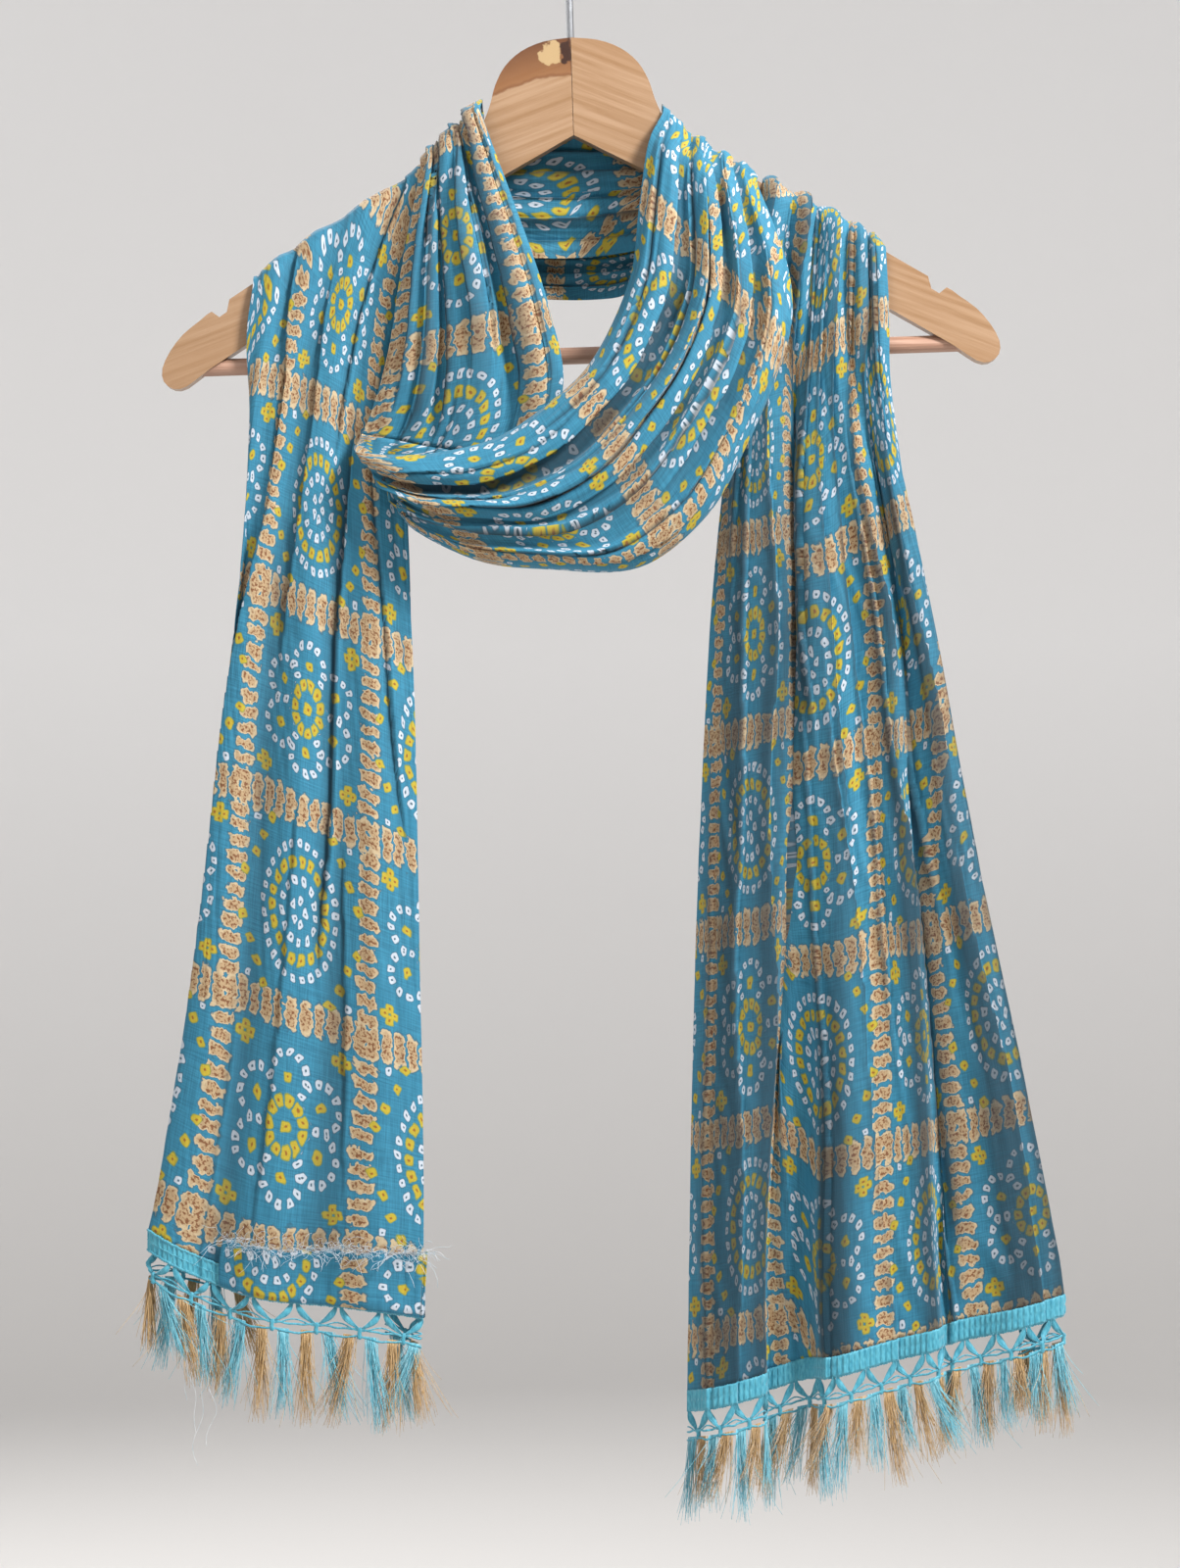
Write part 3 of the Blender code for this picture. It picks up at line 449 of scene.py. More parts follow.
# How far along a stretch each row lies, 0 to 1 between its ends
def partWay(name):
    low, high = cuts[name]
    return (centreAlong - centreAlong[low]) / (centreAlong[high] - centreAlong[low])


# A line down a stretch: mm across from it at each point, and how much of it acts in each row
def lineAway(name, begin, end, shareBegin, shareEnd, softEnd, wavering):
    here = partWay(name)
    t = (here - begin) / (end - begin)
    line = shareBegin + (shareEnd - shareBegin) * t
    if wavering:
        line = line + 0.006 * np.sin(here * 23 + shareBegin * 40)
    return (share - line[:, None]) * width, eased(np.clip(np.minimum(t, 1 - t) / softEnd, 0, 1))[:, None]


# Height of pleats, creases and valleys over the plain route, in mm
def crinkled():
    height = np.zeros((rowCount, columnCount))
    strength = np.interp(np.arange(rowCount), [sum(cuts[name]) / 2 for name in clothPlan["crinkle"]],
                         list(clothPlan["crinkle"].values()))[:, None]
    for gap, part, seed in clothPlan["pleats"]:
        drift = wander(rowCount, max(4, rowCount // 14), seed)[:, None] * 0.5
        phase = np.cumsum(1 + 0.6 * wander(columnCount, 60, seed + 1))
        waves = width * (phase / phase[-1])[None, :] / gap + drift
        fade = np.clip(0.55 + 0.45 * wander(rowCount, max(4, rowCount // 9), seed + 2), 0, 1)[:, None] \
            * np.clip(0.6 + 0.5 * wander(columnCount, 18, seed + 3), 0, 1)[None, :]
        height += strength * part * fade * (1 - 2 * np.abs(2 * (waves % 1) - 1) ** 1.4)
    for name, lines in creases.items():
        for *line, depth, wide in lines:
            away, amount = lineAway(name, *line, 0.22, line[0] > 0.05)
            fold = np.where(away > 0, -0.85 * np.exp(-away / wide), 0.55 * np.exp(away / (0.7 * wide)))
            height += depth * amount * fold
    for name, lines in valleys.items():
        for *line, depth, wide in lines:
            away, amount = lineAway(name, *line, 0.25, False)
            height -= depth * amount * np.exp(-(away / wide) ** 2)
    edge = np.clip(np.minimum(share, 1 - share) * width / 6.0, 0, 1)
    overArm = 1 - 0.7 * np.clip(np.abs(base[..., 1]), 0, 1) ** 2
    return height * (0.25 + 0.75 * edge) * overArm


# How deep each point lies in a fold, 0 open to 1 deep; the cloth's colour takes painted shade by it, darker
# the deeper.
def foldDepth():
    deepest = np.zeros((rowCount, columnCount))
    for reach, full in clothPlan["foldShade"]:
        weights = np.hanning(2 * reach + 3)[1:-1]
        padded = np.pad(cloth, ((0, 0), (reach, reach), (0, 0)), mode="edge")
        mean = sum(padded[:, k:k + columnCount] * part for k, part in enumerate(weights / weights.sum()))
        deep = ((mean - cloth) * base).sum(axis=2) * outward
        deepest = np.maximum(deepest, np.clip(deep / full, 0, 1))
    return deepest


base = gridNormals(cloth)
hemRows = slice(cuts["tail_left"][0], cuts["tail_left"][0] + 40)
outward = np.sign(np.median((base * (0, 0, 1)).sum(axis=2)[hemRows]))
cloth = cloth + base * outward * crinkled()[..., None]
foldShade = foldDepth()
sag, sagAt, sagWide, sagPart = clothPlan["hemSag"]
down = np.clip(1 - partWay("tail_left") / sagPart, 0, 1)
cloth[..., 1] += sag * eased(down)[:, None] * np.exp(-((share - sagAt) / sagWide) ** 2)
clothWorld = place(cloth)
worldNormals = gridNormals(clothWorld)
facing = -1 if worldNormals[20, middle, 1] > 0 else 1
worldNormals = worldNormals * facing

# Print coordinates: metres across (u) and along (v) the cloth
printPlan = {
    "across": 80.0,            # mm, one cell of the print
    "along": 106.0,
    "jump": 30.0,              # mm between columns that count as the print jumping
    "trueTo": (                # stretch, and the parts of it where cross bars run true to one row
        ("tail_left", 0.0, 0.0, 0.91), ("neck_band_upper", 0.0, 0.5, 1.0), ("loop_front", 0.12, 0.5, 0.95),
        ("loop_left", 0.0, 0.3, 0.75), ("neck_band_lower", 0.0, 0.5, 1.0), ("tail_right", 0.1, 1.0, 1.0),
    ),
    # stretch, part of its length, print across at each share in mm, mm added along at each share
    "anchors": (
        ("tail_left", 0.00, ((0, -52), (0.26, 0), (0.66, 80), (1, 148)), ((0, 88), (1, 88))),
        ("tail_left", 0.55, ((0, -40), (0.23, 0), (0.69, 80), (1, 134)), ((0, 88), (1, 88))),
        ("tail_left", 0.80, ((0, -50), (0.29, 0), (0.75, 80), (1, 124)), ((0, 88), (1, 88))),
        ("neck_band_upper", 0.50, ((0, 4), (1, 76)), ((0, 30), (1, 30))),
        ("loop_front", 0.30, ((0, 8), (0.25, 40), (0.4523, 72), (0.4568, 165), (0.62, 200), (0.82, 240),
                              (1, 275)), ((0, 25), (0.41, -6), (1, -50))),
        ("loop_front", 0.62, ((0, 8), (0.25, 40), (0.4523, 72), (0.4568, 165), (0.68, 200), (0.9, 240),
                              (1, 262)), ((0, 27), (0.41, -12), (1, -68))),
        ("loop_front", 0.95, ((0, 8), (0.25, 40), (0.4523, 72), (0.4568, 165), (0.68, 200), (0.9, 240),
                              (1, 262)), ((0, 0), (1, -50))),
        ("loop_left", 0.00, ((0, -6), (0.47, 40), (0.86, 80), (1, 97)), ((0, -53), (1, -53))),
        ("loop_left", 0.80, ((0, -6), (0.47, 40), (0.86, 80), (1, 97)), ((0, -53), (1, -53))),
        ("neck_band_lower", 0.50, ((0, 20), (1, 60)), ((0, 20), (1, 20))),
        ("tail_right", 0.20, ((0, -60), (0.30, 0), (0.62, 66), (1, 140)), ((0, 76), (1, 76))),
        ("tail_right", 0.42, ((0, -66), (0.30, 0), (0.61, 52), (0.73, 80), (0.85, 120), (1, 170)),
         ((0, 76), (0.64, 76), (0.70, 100), (1, 100))),
        ("tail_right", 0.68, ((0, -140), (0.14, -108), (0.28, -62), (0.42, 0), (0.61, 46), (0.73, 80),
                              (0.85, 120), (0.94, 160), (1, 180)),
         ((0, 72), (0.5, 76), (0.64, 76), (0.70, 107), (1, 107))),
        ("tail_right", 1.00, ((0, -160), (0.14, -120), (0.27, -80), (0.49, 0), (0.61, 40), (0.73, 80),
                              (0.85, 120), (0.94, 160), (1, 180)),
         ((0, 78), (0.5, 76), (0.64, 76), (0.70, 108), (1, 108))),
    ),
}


def printCoordinates():
    # each column's own length from one row, so that cross bars lie parallel to it
    apart = runAlong - centreAlong[:, None]
    lean = np.zeros_like(apart)
    held = []
    for name, begin, anchor, end in printPlan["trueTo"]:
        low, high = cuts[name]
        begin, anchor, end = (low + round((high - low) * part) for part in (begin, anchor, end))
        lean[begin:end + 1] = apart[begin:end + 1] - apart[anchor]
        held.append((begin, end))
    for (_, start), (end, _) in zip(held, held[1:]):
        for row in range(start + 1, end):
            t = (row - start) / (end - start)
            lean[row] = lean[start] * (1 - t) + lean[end] * t
    at, u, added = [], [], []
    for name, part, acrossPairs, alongPairs in printPlan["anchors"]:
        low, high = cuts[name]
        at.append(low + (high - low) * part)
        row = share[min(int(at[-1]), rowCount - 1)]
        u.append(np.interp(row, *zip(*acrossPairs)))
        added.append(np.interp(row, *zip(*alongPairs)))
    rows = np.arange(rowCount)
    uAll, vAll = (np.stack([np.interp(rows, at, np.array(part)[:, k]) for k in range(columnCount)], axis=1)
                  for part in (u, added))
    return np.stack([uAll, centreAlong[:, None] + lean + vAll], axis=-1) * mm


printUv = printCoordinates()
print("stage: print laid out")

# Printed crinkle cotton: matt, thin, slightly sheeny weave dyed turquoise, dots and bars printed on it;
# painted shade darkens it in deep folds
printInks = {
    "ground": "#256E8A", "groundLight": "#3C87A2", "groundDark": "#17566E",
    "white": "#B0B9C3", "yellow": "#A8942A", "yellowEdge": "#6F7F3A",
    "seedDark": "#33505E", "seedBrown": "#85551B",
    # fold: painted shade, the near-black that the deepest folds are darkened towards
    "tan": "#A38A68", "tanEdge": "#B3A080", "brown": "#6F472B", "rim": "#2A5A6E", "fold": "#061C26",
}
printMotifs = {          # millimetres
    "dot": (1.75, 1.95),          # half width, half height
    "bigDot": (2.25, 2.45),
    # rings: half width, half height, dots
    "ovalOuter": (21.5, 34.5, 29), "ovalYellow": (16.0, 25.0, 19), "ovalInner": (10.0, 16.0, 13),
    "ovalHeart": (3.4, 6.5, 5),
    "flowerRing": (8.4, 11.6, 11), "petalSeeds": (19.5, 22.5, 6),
    "petals": (20.3, 10.2, 11),       # middle of a petal from the heart, its radius, its dots
    "diamond": (27.0, 36.0, 3.0), "string": ((34.0, 12.0), (19.0, 43.0)), "cornerDot": (28.5, 41.0),
    "lengthBar": (6.2, 8.4, 0.74), "crossBar": (9.0, 7.4, 0.82),   # half height, pitch, share inked
    "wobble": 0.8,            # how far a dot may be out of its place
    "flowerStretch": (0.95, 1.12, 1), "petalsOpen": 0.78,    # no dots on the heart's side of a petal
    "paintedFoldShade": 0.80,          # how much of the painted fold shade the deepest points take
}


def printedCotton():
    made, add, link = newFinish("printed_crinkle_cotton", Roughness=0.72, Sheen_Weight=0.12,
                                Sheen_Roughness=0.45, Specular_IOR_Level=0.35)
    ink = {name: linearColour(code) for name, code in printInks.items()}
    motifs = printMotifs
    dot, bigDot = motifs["dot"], motifs["bigDot"]
    cell = (printPlan["across"], printPlan["along"], 1.0)

    # the print drifts a little: slow wander of the whole, quick wobble of each dot
    metric = add("VectorMath MULTIPLY", (add("UVMap", uv_map="print"), (1000, 1000, 0)))
    spot = metric
    for scale, detail, off in ((0.035, 2.0, 3.0), (0.16, 1.0, motifs["wobble"] * 2)):
        noise = add("TexNoise", {"Vector": metric, "Scale": scale, "Detail": detail}, "Color")
        shift = add("VectorMath MULTIPLY_ADD", (noise, (2 * off, 2 * off, 0), (-off, -off, 0)))
        spot = add("VectorMath ADD", (spot, shift))
    inCells = add("VectorMath DIVIDE", (spot, cell))
    cellNumber = add("VectorMath FLOOR", (inCells,))
    offset = add("VectorMath SUBTRACT", (inCells, cellNumber))
    fromHeart = add("VectorMath MULTIPLY_ADD", (offset, cell, (-cell[0] / 2, -cell[1] / 2, 0)))
    mirrored = add("VectorMath ABSOLUTE", (fromHeart,))
    number = add("VectorMath DOT_PRODUCT", (cellNumber, (1, 1, 0)), "Value")
    odd = add("Math GREATER_THAN", (add("Math FRACT", (add("Math MULTIPLY", (number, 0.5)),)), 0.25))

    # how far out of a dot of this half width and height: 1 on its rim, corners squared off
    def outOfDot(local, halfWide, halfHigh):
        scaled = add("VectorMath DIVIDE", (local, (halfWide, halfHigh, 1)))
        return add("VectorMath LENGTH", (add("VectorMath MULTIPLY", (scaled, scaled)),), "Value")

    def angleAndReach(point):
        parts = add("SeparateXYZ", (point,)).node.outputs
        return add("Math ARCTAN2", (parts["Y"], parts["X"])), add("VectorMath LENGTH", (point,), "Value")

    def ring(point, rx, ry, count, dot, turn=0.0):
        size = math.sqrt(rx * ry)
        angle, far = angleAndReach(add("VectorMath DIVIDE", (point, (rx / size, ry / size, 1))))
        radial = add("Math SUBTRACT", (far, size))
        turns = add("Math FRACT", (add("Math MULTIPLY_ADD", (angle, count / (2 * math.pi), 20.5 + turn)),))
        pitch = 2 * math.pi * size / count
        sideways = add("Math MULTIPLY_ADD", (turns, pitch, -pitch / 2))
        return outOfDot(add("CombineXYZ", (sideways, radial, 0.0)), *dot)

    # six round petals, each outlined in dots: one sixth of the turn is drawn and repeated
    def petalOutlines(centre, radius, count, dot):
        angle, far = angleAndReach(add("VectorMath DIVIDE", (fromHeart, motifs["flowerStretch"])))
        sixth = add("Math FRACT", (add("Math MULTIPLY_ADD", (angle, 6 / (2 * math.pi), 20.0)),))
        sixth = add("Math MULTIPLY_ADD", (sixth, math.pi / 3, -math.pi / 6))
        outX, outY = (add("Math MULTIPLY", (add(f"Math {part}", (sixth,)), far))
                      for part in ("COSINE", "SINE"))
        onPetal = add("CombineXYZ", (add("Math SUBTRACT", (outX, centre)), outY, 0.0))
        dots = ring(onPetal, radius, radius, count, dot)
        inside = add("Math LESS_THAN", (outX, centre - radius * motifs["petalsOpen"]))
        return add("Math MULTIPLY_ADD", (inside, 10.0, dots))

    def nearest(*distances):
        lowest = distances[0]
        for other in distances[1:]:
            lowest = add("Math MINIMUM", (lowest, other))
        return lowest

    # four dots set as a diamond in each corner
    x, y, out = motifs["diamond"]
    local = add("VectorMath ABSOLUTE", (add("VectorMath SUBTRACT", (mirrored, (x, y, 0))),))
    axes = add("SeparateXYZ", (local,)).node.outputs
    larger = add("Math SUBTRACT", (add("Math MAXIMUM", (axes["X"], axes["Y"])), out))
    smaller = add("Math MINIMUM", (axes["X"], axes["Y"]))
    diamond = outOfDot(add("CombineXYZ", (larger, smaller, 0.0)), bigDot[0], bigDot[0])
    # a slanting string of four dots in each corner
    (x1, y1), (x2, y2) = motifs["string"]
    local = add("VectorMath SUBTRACT", (mirrored, ((x1 + x2) / 2, (y1 + y2) / 2, 0)))
    local = add("VectorRotate Z_AXIS", {"Vector": local, "Angle": -math.atan2(y2 - y1, x2 - x1)})
    axes = add("SeparateXYZ", (local,)).node.outputs
    pitch = math.hypot(x2 - x1, y2 - y1) / 3
    folded = axes["X"]
    for fold in (pitch, pitch / 2):
        folded = add("Math SUBTRACT", (add("Math ABSOLUTE", (folded,)), fold))
    string = outOfDot(add("CombineXYZ", (folded, axes["Y"], 0.0)), bigDot[0], bigDot[0])

    cornerDot, heartDot = (outOfDot(add("VectorMath SUBTRACT", (mirrored, (*at, 0))), *size)
                           for at, size in ((motifs["cornerDot"], dot), ((0.0, 0.0), bigDot)))
    whiteOval = nearest(ring(fromHeart, *motifs["ovalOuter"], dot),
                        ring(fromHeart, *motifs["ovalInner"], dot, 0.3),
                        ring(fromHeart, *motifs["ovalHeart"], dot, 0.5), cornerDot)
    yellowOval = nearest(ring(fromHeart, *motifs["ovalYellow"], bigDot, 0.2), string)
    whiteFlower = petalOutlines(*motifs["petals"], dot)
    yellowFlower = nearest(ring(fromHeart, *motifs["flowerRing"], bigDot),
                           ring(fromHeart, *motifs["petalSeeds"], bigDot, 0.5), heartDot, diamond)
    white = add("Mix", {0: odd, 2: whiteOval, 3: whiteFlower})
    yellow = add("Mix", {0: odd, 2: yellowOval, 3: yellowFlower})

    # broken bars between the cells
    scatter = add("TexNoise", {"Vector": metric, "Scale": 0.22, "Detail": 2.5}, "Fac")
    scatter = add("Math MULTIPLY_ADD", (scatter, 0.9, -0.45))
    onCloth = add("SeparateXYZ", (spot,)).node.outputs
    inCell = add("SeparateXYZ", (mirrored,)).node.outputs
    bars = []
    for axis, other, edge, (reach, pitch, inked) in (("X", "Y", cell[0] / 2, motifs["lengthBar"]),
                                                     ("Y", "X", cell[1] / 2, motifs["crossBar"])):
        dash = add("Math FRACT", (add("Math MULTIPLY_ADD", (onCloth[other], 1 / pitch, scatter)),))
        dash = add("Math MULTIPLY_ADD", (dash, 2 / inked, -1 / inked))
        inside = add("Math MULTIPLY", (add("Math SUBTRACT", (edge, inCell[axis])), 1 / reach))
        inside = add("Math ADD", (inside, scatter))
        bars.append(outOfDot(add("CombineXYZ", (dash, inside, 0.0)), 1, 1))
    bar = nearest(*bars)

    # threads: slubs along both yarns, drawn wider than real so that they show
    yarns = []
    for stretch, seed in (((0.05, 1.1, 1), 0.0), ((1.3, 0.06, 1), 7.3)):
        yarn = add("VectorMath MULTIPLY_ADD", (metric, stretch, (seed, seed, 0)))
        yarns.append(add("TexNoise", {"Vector": yarn, "Scale": 1.0, "Detail": 2.0}, "Fac"))
    slub = add("Math ADD", yarns)
    patch = add("TexNoise", {"Vector": metric, "Scale": 0.02, "Detail": 3.0}, "Fac")
    shade = add("MapRange", {"Value": slub, "From Min": 0.75, "From Max": 1.25})
    ground = add("Mix RGBA", {0: shade, 6: ink["groundDark"], 7: ink["groundLight"]}, 2)
    even = add("MapRange", {"Value": patch, "From Min": 0.3, "From Max": 0.7, "To Min": 0.35, "To Max": 0.75})
    ground = add("Mix RGBA", {0: even, 6: ground, 7: ink["ground"]}, 2)

    # each ink covers what is under it from far (none) to near (all) a motif's middle
    def stamp(under, distance, far, near, colour):
        amount = add("MapRange", {"Value": distance, "From Min": far, "From Max": near})
        return add("Mix RGBA", {0: amount, 6: under, 7: colour}, 2)

    speck = add("TexNoise", {"Vector": metric, "Scale": 0.62, "Detail": 3.0}, "Fac")
    tan = stamp(ink["tan"], speck, 0.49, 0.58, ink["brown"])
    colour = stamp(ground, bar, 1.3, 1.05, ink["rim"])
    colour = stamp(colour, bar, 1.05, 0.88, ink["tanEdge"])
    colour = stamp(colour, bar, 0.72, 0.45, tan)
    for distance, edge, face, seed in ((white, "rim", "white", "seedDark"),
                                       (yellow, "yellowEdge", "yellow", "seedBrown")):
        colour = stamp(colour, distance, 1.45, 1.1, ink[edge])
        colour = stamp(colour, distance, 1.1, 0.75, ink[face])
        colour = stamp(colour, distance, 0.12, 0.03, ink[seed])
    # painted shade: the deeper a point lies in a fold, the more its colour goes towards the fold colour
    deep = add("Attribute", output="Fac", attribute_name="foldDepth")
    deep = add("Math MULTIPLY", (deep, printMotifs["paintedFoldShade"]))
    link(add("Mix RGBA", {0: deep, 6: colour, 7: ink["fold"]}, 2), "Base Color")
    link(add("Bump", {"Height": slub, "Distance": 0.0003, "Strength": 0.5}), "Normal")
    rough = {"Value": slub, "From Min": 0.7, "From Max": 1.3, "To Min": 0.62, "To Max": 0.82}
    link(add("MapRange", rough), "Roughness")
    return made


# A finish of two tones in a grain: metres to noise units by axis or all round, how far the tones
# are told apart, and the relief's height in metres and strength
def grainedFinish(name, tones, grain, detail, spread=None, relief=None, **settings):
    made, add, link = newFinish(name, **settings)
    where = add("TexCoord", output="Object")
    scale = grain
    if isinstance(grain, tuple):
        where, scale = add("VectorMath MULTIPLY", (where, grain)), 1.0
    noise = add("TexNoise", {"Vector": where, "Scale": scale, "Detail": detail}, "Fac")
    amount = noise
    if spread:
        amount = add("MapRange", {"Value": noise, "From Min": spread[0], "From Max": spread[1]})
    link(add("Mix RGBA", {0: amount, 6: linearColour(tones[0]), 7: linearColour(tones[1])}, 2), "Base Color")
    if relief:
        link(add("Bump", {"Height": noise, "Distance": relief[0], "Strength": relief[1]}), "Normal")
    return made


# Nickel-plated wire: bright, drawn smooth, with faint duller marks along it
def platedWire():
    made, add, link = newFinish("nickel_plated_wire", Metallic=1.0, Roughness=0.22)
    where = add("TexCoord", output="Object")
    marks = add("TexNoise", {"Vector": where, "Scale": 400.0, "Detail": 3.0}, "Fac")
    link(add("MapRange", {"Value": marks, "To Min": 0.15, "To Max": 0.34}), "Roughness")
    link(add("Mix RGBA", {0: marks, 6: linearColour("#A6A8AB"), 7: linearColour("#8B8D91")}, 2), "Base Color")
    return made


woodPlan = {
    "joint": (2.5, 75.0),             # mm, world x of the joint's upper end and how far it is below the rail
    "slant": 21,                      # degrees that the grain falls away from the joint
    "grain": (13, 380, 380), "growth": (4, 60, 60),    # noise units a metre, along and across the grain
    "tones": ("#A08164", "#8A6847"), "growthTone": "#906D4C",
    # Left half: heartwood over a bowed line, from the joint out. Metres over that line where each
    # tone starts and is full, its share, where it is over again, tone
    "bow": 6.4, "ends": (-0.047, -0.043), "waver": 0.004,
    "heartwood": ((-0.0184, -0.0176, 0.82, None, "#7C4F2A"),
                  (-0.0186, -0.0179, 0.4, (-0.0172, -0.0162), "#5F371C"),
                  (-0.016, 0.001, 0.8, None, "#522D16")),
    # Broken pale knot and its hole by the joint: x, drop, half width, half height in metres, tone
    "knots": ((-0.0102, 0.0083, 0.0056, 0.0054, "#A98E66"), (-0.0024, 0.0078, 0.0032, 0.0056, "#33190C")),
}


# Lacquered pale hardwood, grain running to the centre joint as a chevron
def hangerWood(name, side):
    plan = woodPlan
    made, add, link = newFinish(name, Roughness=0.38, Coat_Weight=0.25, Coat_Roughness=0.2)
    x, drop = plan["joint"]
    fromJoint = add("VectorMath SUBTRACT", (add("TexCoord", output="Object"), (x * mm, 0, -drop * mm)))
    turned = add("VectorRotate Y_AXIS", {"Vector": fromJoint, "Angle": -side * math.radians(plan["slant"])})
    rings, growth = (add("TexNoise", {"Vector": add("VectorMath MULTIPLY", (turned, plan[grain])),
                                      "Scale": 1.0, "Detail": detail, "Roughness": rough}, "Fac")
                     for grain, detail, rough in (("grain", 5.0, 0.6), ("growth", 3.0, 0.5)))

    def tone(under, amount, code):
        return add("Mix RGBA", {0: amount, 6: under, 7: linearColour(code)}, 2)

    shade = add("MapRange", {"Value": rings, "From Min": 0.35, "From Max": 0.7})
    colour = tone(linearColour(plan["tones"][0]), shade, plan["tones"][1])
    broad = add("MapRange", {"Value": growth, "From Min": 0.45, "From Max": 0.62, "To Max": 0.35})
    colour = tone(colour, broad, plan["growthTone"])
    if side < 0:
        axes = add("SeparateXYZ", (fromJoint,)).node.outputs
        bow = add("Math MULTIPLY", (axes["X"], axes["X"]))
        above = add("Math MULTIPLY_ADD", (bow, plan["bow"], axes["Z"]))
        uneven, ragged = (add("TexNoise", {"Vector": fromJoint, "Scale": scale, "Detail": 4.0}, "Fac")
                          for scale in (130.0, 210.0))
        above = add("Math MULTIPLY_ADD", (uneven, plan["waver"], above))
        gone, full = plan["ends"]
        nearJoint = add("MapRange", {"Value": axes["X"], "From Min": gone, "From Max": full,
                                     "To Min": -1.0, "To Max": 0.0})
        above = add("Math ADD", (above, nearJoint))
        for begin, full, most, over, code in plan["heartwood"]:
            amount = add("MapRange", {"Value": above, "From Min": begin, "From Max": full, "To Max": most})
            if over:
                past = add("MapRange", {"Value": above, "From Min": over[1], "From Max": over[0]})
                amount = add("Math MULTIPLY", (amount, past))
            colour = tone(colour, amount, code)
        for x, drop, halfWide, halfTall, code in plan["knots"]:
            local = add("VectorMath SUBTRACT", (fromJoint, (x, 0, -drop)))
            local = add("VectorMath MULTIPLY", (local, (1 / halfWide, 0, 1 / halfTall)))
            far = add("Math MULTIPLY_ADD", (ragged, 2.4, add("VectorMath LENGTH", (local,), "Value")))
            colour = tone(colour, add("MapRange", {"Value": far, "From Min": 2.3, "From Max": 2.1}), code)
    link(colour, "Base Color")
    link(add("Bump", {"Height": rings, "Distance": 0.0002, "Strength": 0.35}), "Normal")
    return made


cotton = printedCotton()
# Mercerised crochet cotton: slightly glossy turquoise yarn, rib by rib
yarnTurquoise = grainedFinish("crochet_cotton_turquoise", ("#237F96", "#4FA1B3"), (900, 900, 300), 3.0,
                              (0.3, 0.7), (0.0003, 0.7), Roughness=0.6, Sheen_Weight=0.3)
# Spun viscose fringe thread: silky, its colour runs a little along each thread
fringeThreads = {colour: grainedFinish(f"fringe_viscose_{colour}", tones, (1200, 1200, 160), 2.0, (0.3, 0.7),
                                       Roughness=0.45, Sheen_Weight=0.4, Sheen_Roughness=0.3)
                 for colour, tones in (("turquoise", ("#429CB2", "#8CCAD6")),
                                       ("straw", ("#9E7B4C", "#CBAB7C")))}
# Turned dowel, redder and drier than the arms
dowelWood = grainedFinish("turned_dowel", ("#B08C78", "#8E6853"), (12, 420, 420), 4.0, (0.3, 0.7),
                          (0.0002, 0.3), Roughness=0.5)
# Dried wood glue: a thin dark line, dull and a little uneven
driedGlue = grainedFinish("dried_wood_glue", ("#4A3222", "#6B4B33"), 300.0, 2.0, Roughness=0.7)
# Pulled warp ends: fine, nearly colourless thread that catches the light
pulledThread = grainedFinish("pulled_warp_ends", ("#8FA9B6", "#D3D6DA"), 260.0, 2.0, (0.35, 0.65),
                             Roughness=0.4, Sheen_Weight=0.5)
for node, finish in (("hanger_wood_left", hangerWood("lacquered_beech_left", -1)),
                     ("hanger_wood_right", hangerWood("lacquered_beech_right", 1)),
                     ("hanger_bar", dowelWood), ("hanger_hook", platedWire())):
    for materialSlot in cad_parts[node].material_slots:
        materialSlot.material = finish
print("stage: materials")

# Glue in the joint between the two halves of the wood
gluePlan = {"wide": 0.26, "inset": 1.0, "nearJoint": 0.4}     # mm


def glueLine():
    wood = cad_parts["hanger_wood_left"]
    spots = np.array([wood.matrix_world @ vertex.co for vertex in wood.data.vertices])
    downWay = np.array([math.sin(tilt), 0, -math.cos(tilt)])
    sideways = spots @ np.array([math.cos(tilt), 0, math.sin(tilt)])
    joint = spots[sideways > sideways.max() - gluePlan["nearJoint"] * mm]
    depth = joint @ downWay
    inset = gluePlan["inset"] * mm
    top, low = depth.min() + inset, depth.max() - inset
    centre = downWay * (top + low) / 2
    front = (joint[:, 1].min() + joint[:, 1].max()) / 2
    bpy.ops.object.select_all(action="DESELECT")
    bpy.ops.mesh.primitive_cube_add(size=1, location=(centre[0], front, centre[2]), rotation=(0, -tilt, 0),
                                    scale=(gluePlan["wide"] * mm, np.ptp(joint[:, 1]) - 2 * inset, low - top))
    made = bpy.context.object
    made.name = "glue_line"
    bpy.ops.object.mode_set(mode="EDIT")
    bpy.ops.mesh.select_all(action="SELECT")
    bpy.ops.mesh.subdivide(number_cuts=3)
    bpy.ops.object.mode_set(mode="OBJECT")
    bpy.ops.object.transform_apply(location=True, rotation=True, scale=True)
    made.data.materials.append(driedGlue)
    settle(made, "wood")


glueLine()
print("stage: joint")


# Gives a cloth sheet its thickness
def thicken(piece):
    wall = piece.modifiers.new("wall", "SOLIDIFY")
    wall.thickness = clothPlan["thick"] * mm
    wall.offset = 0
    return piece


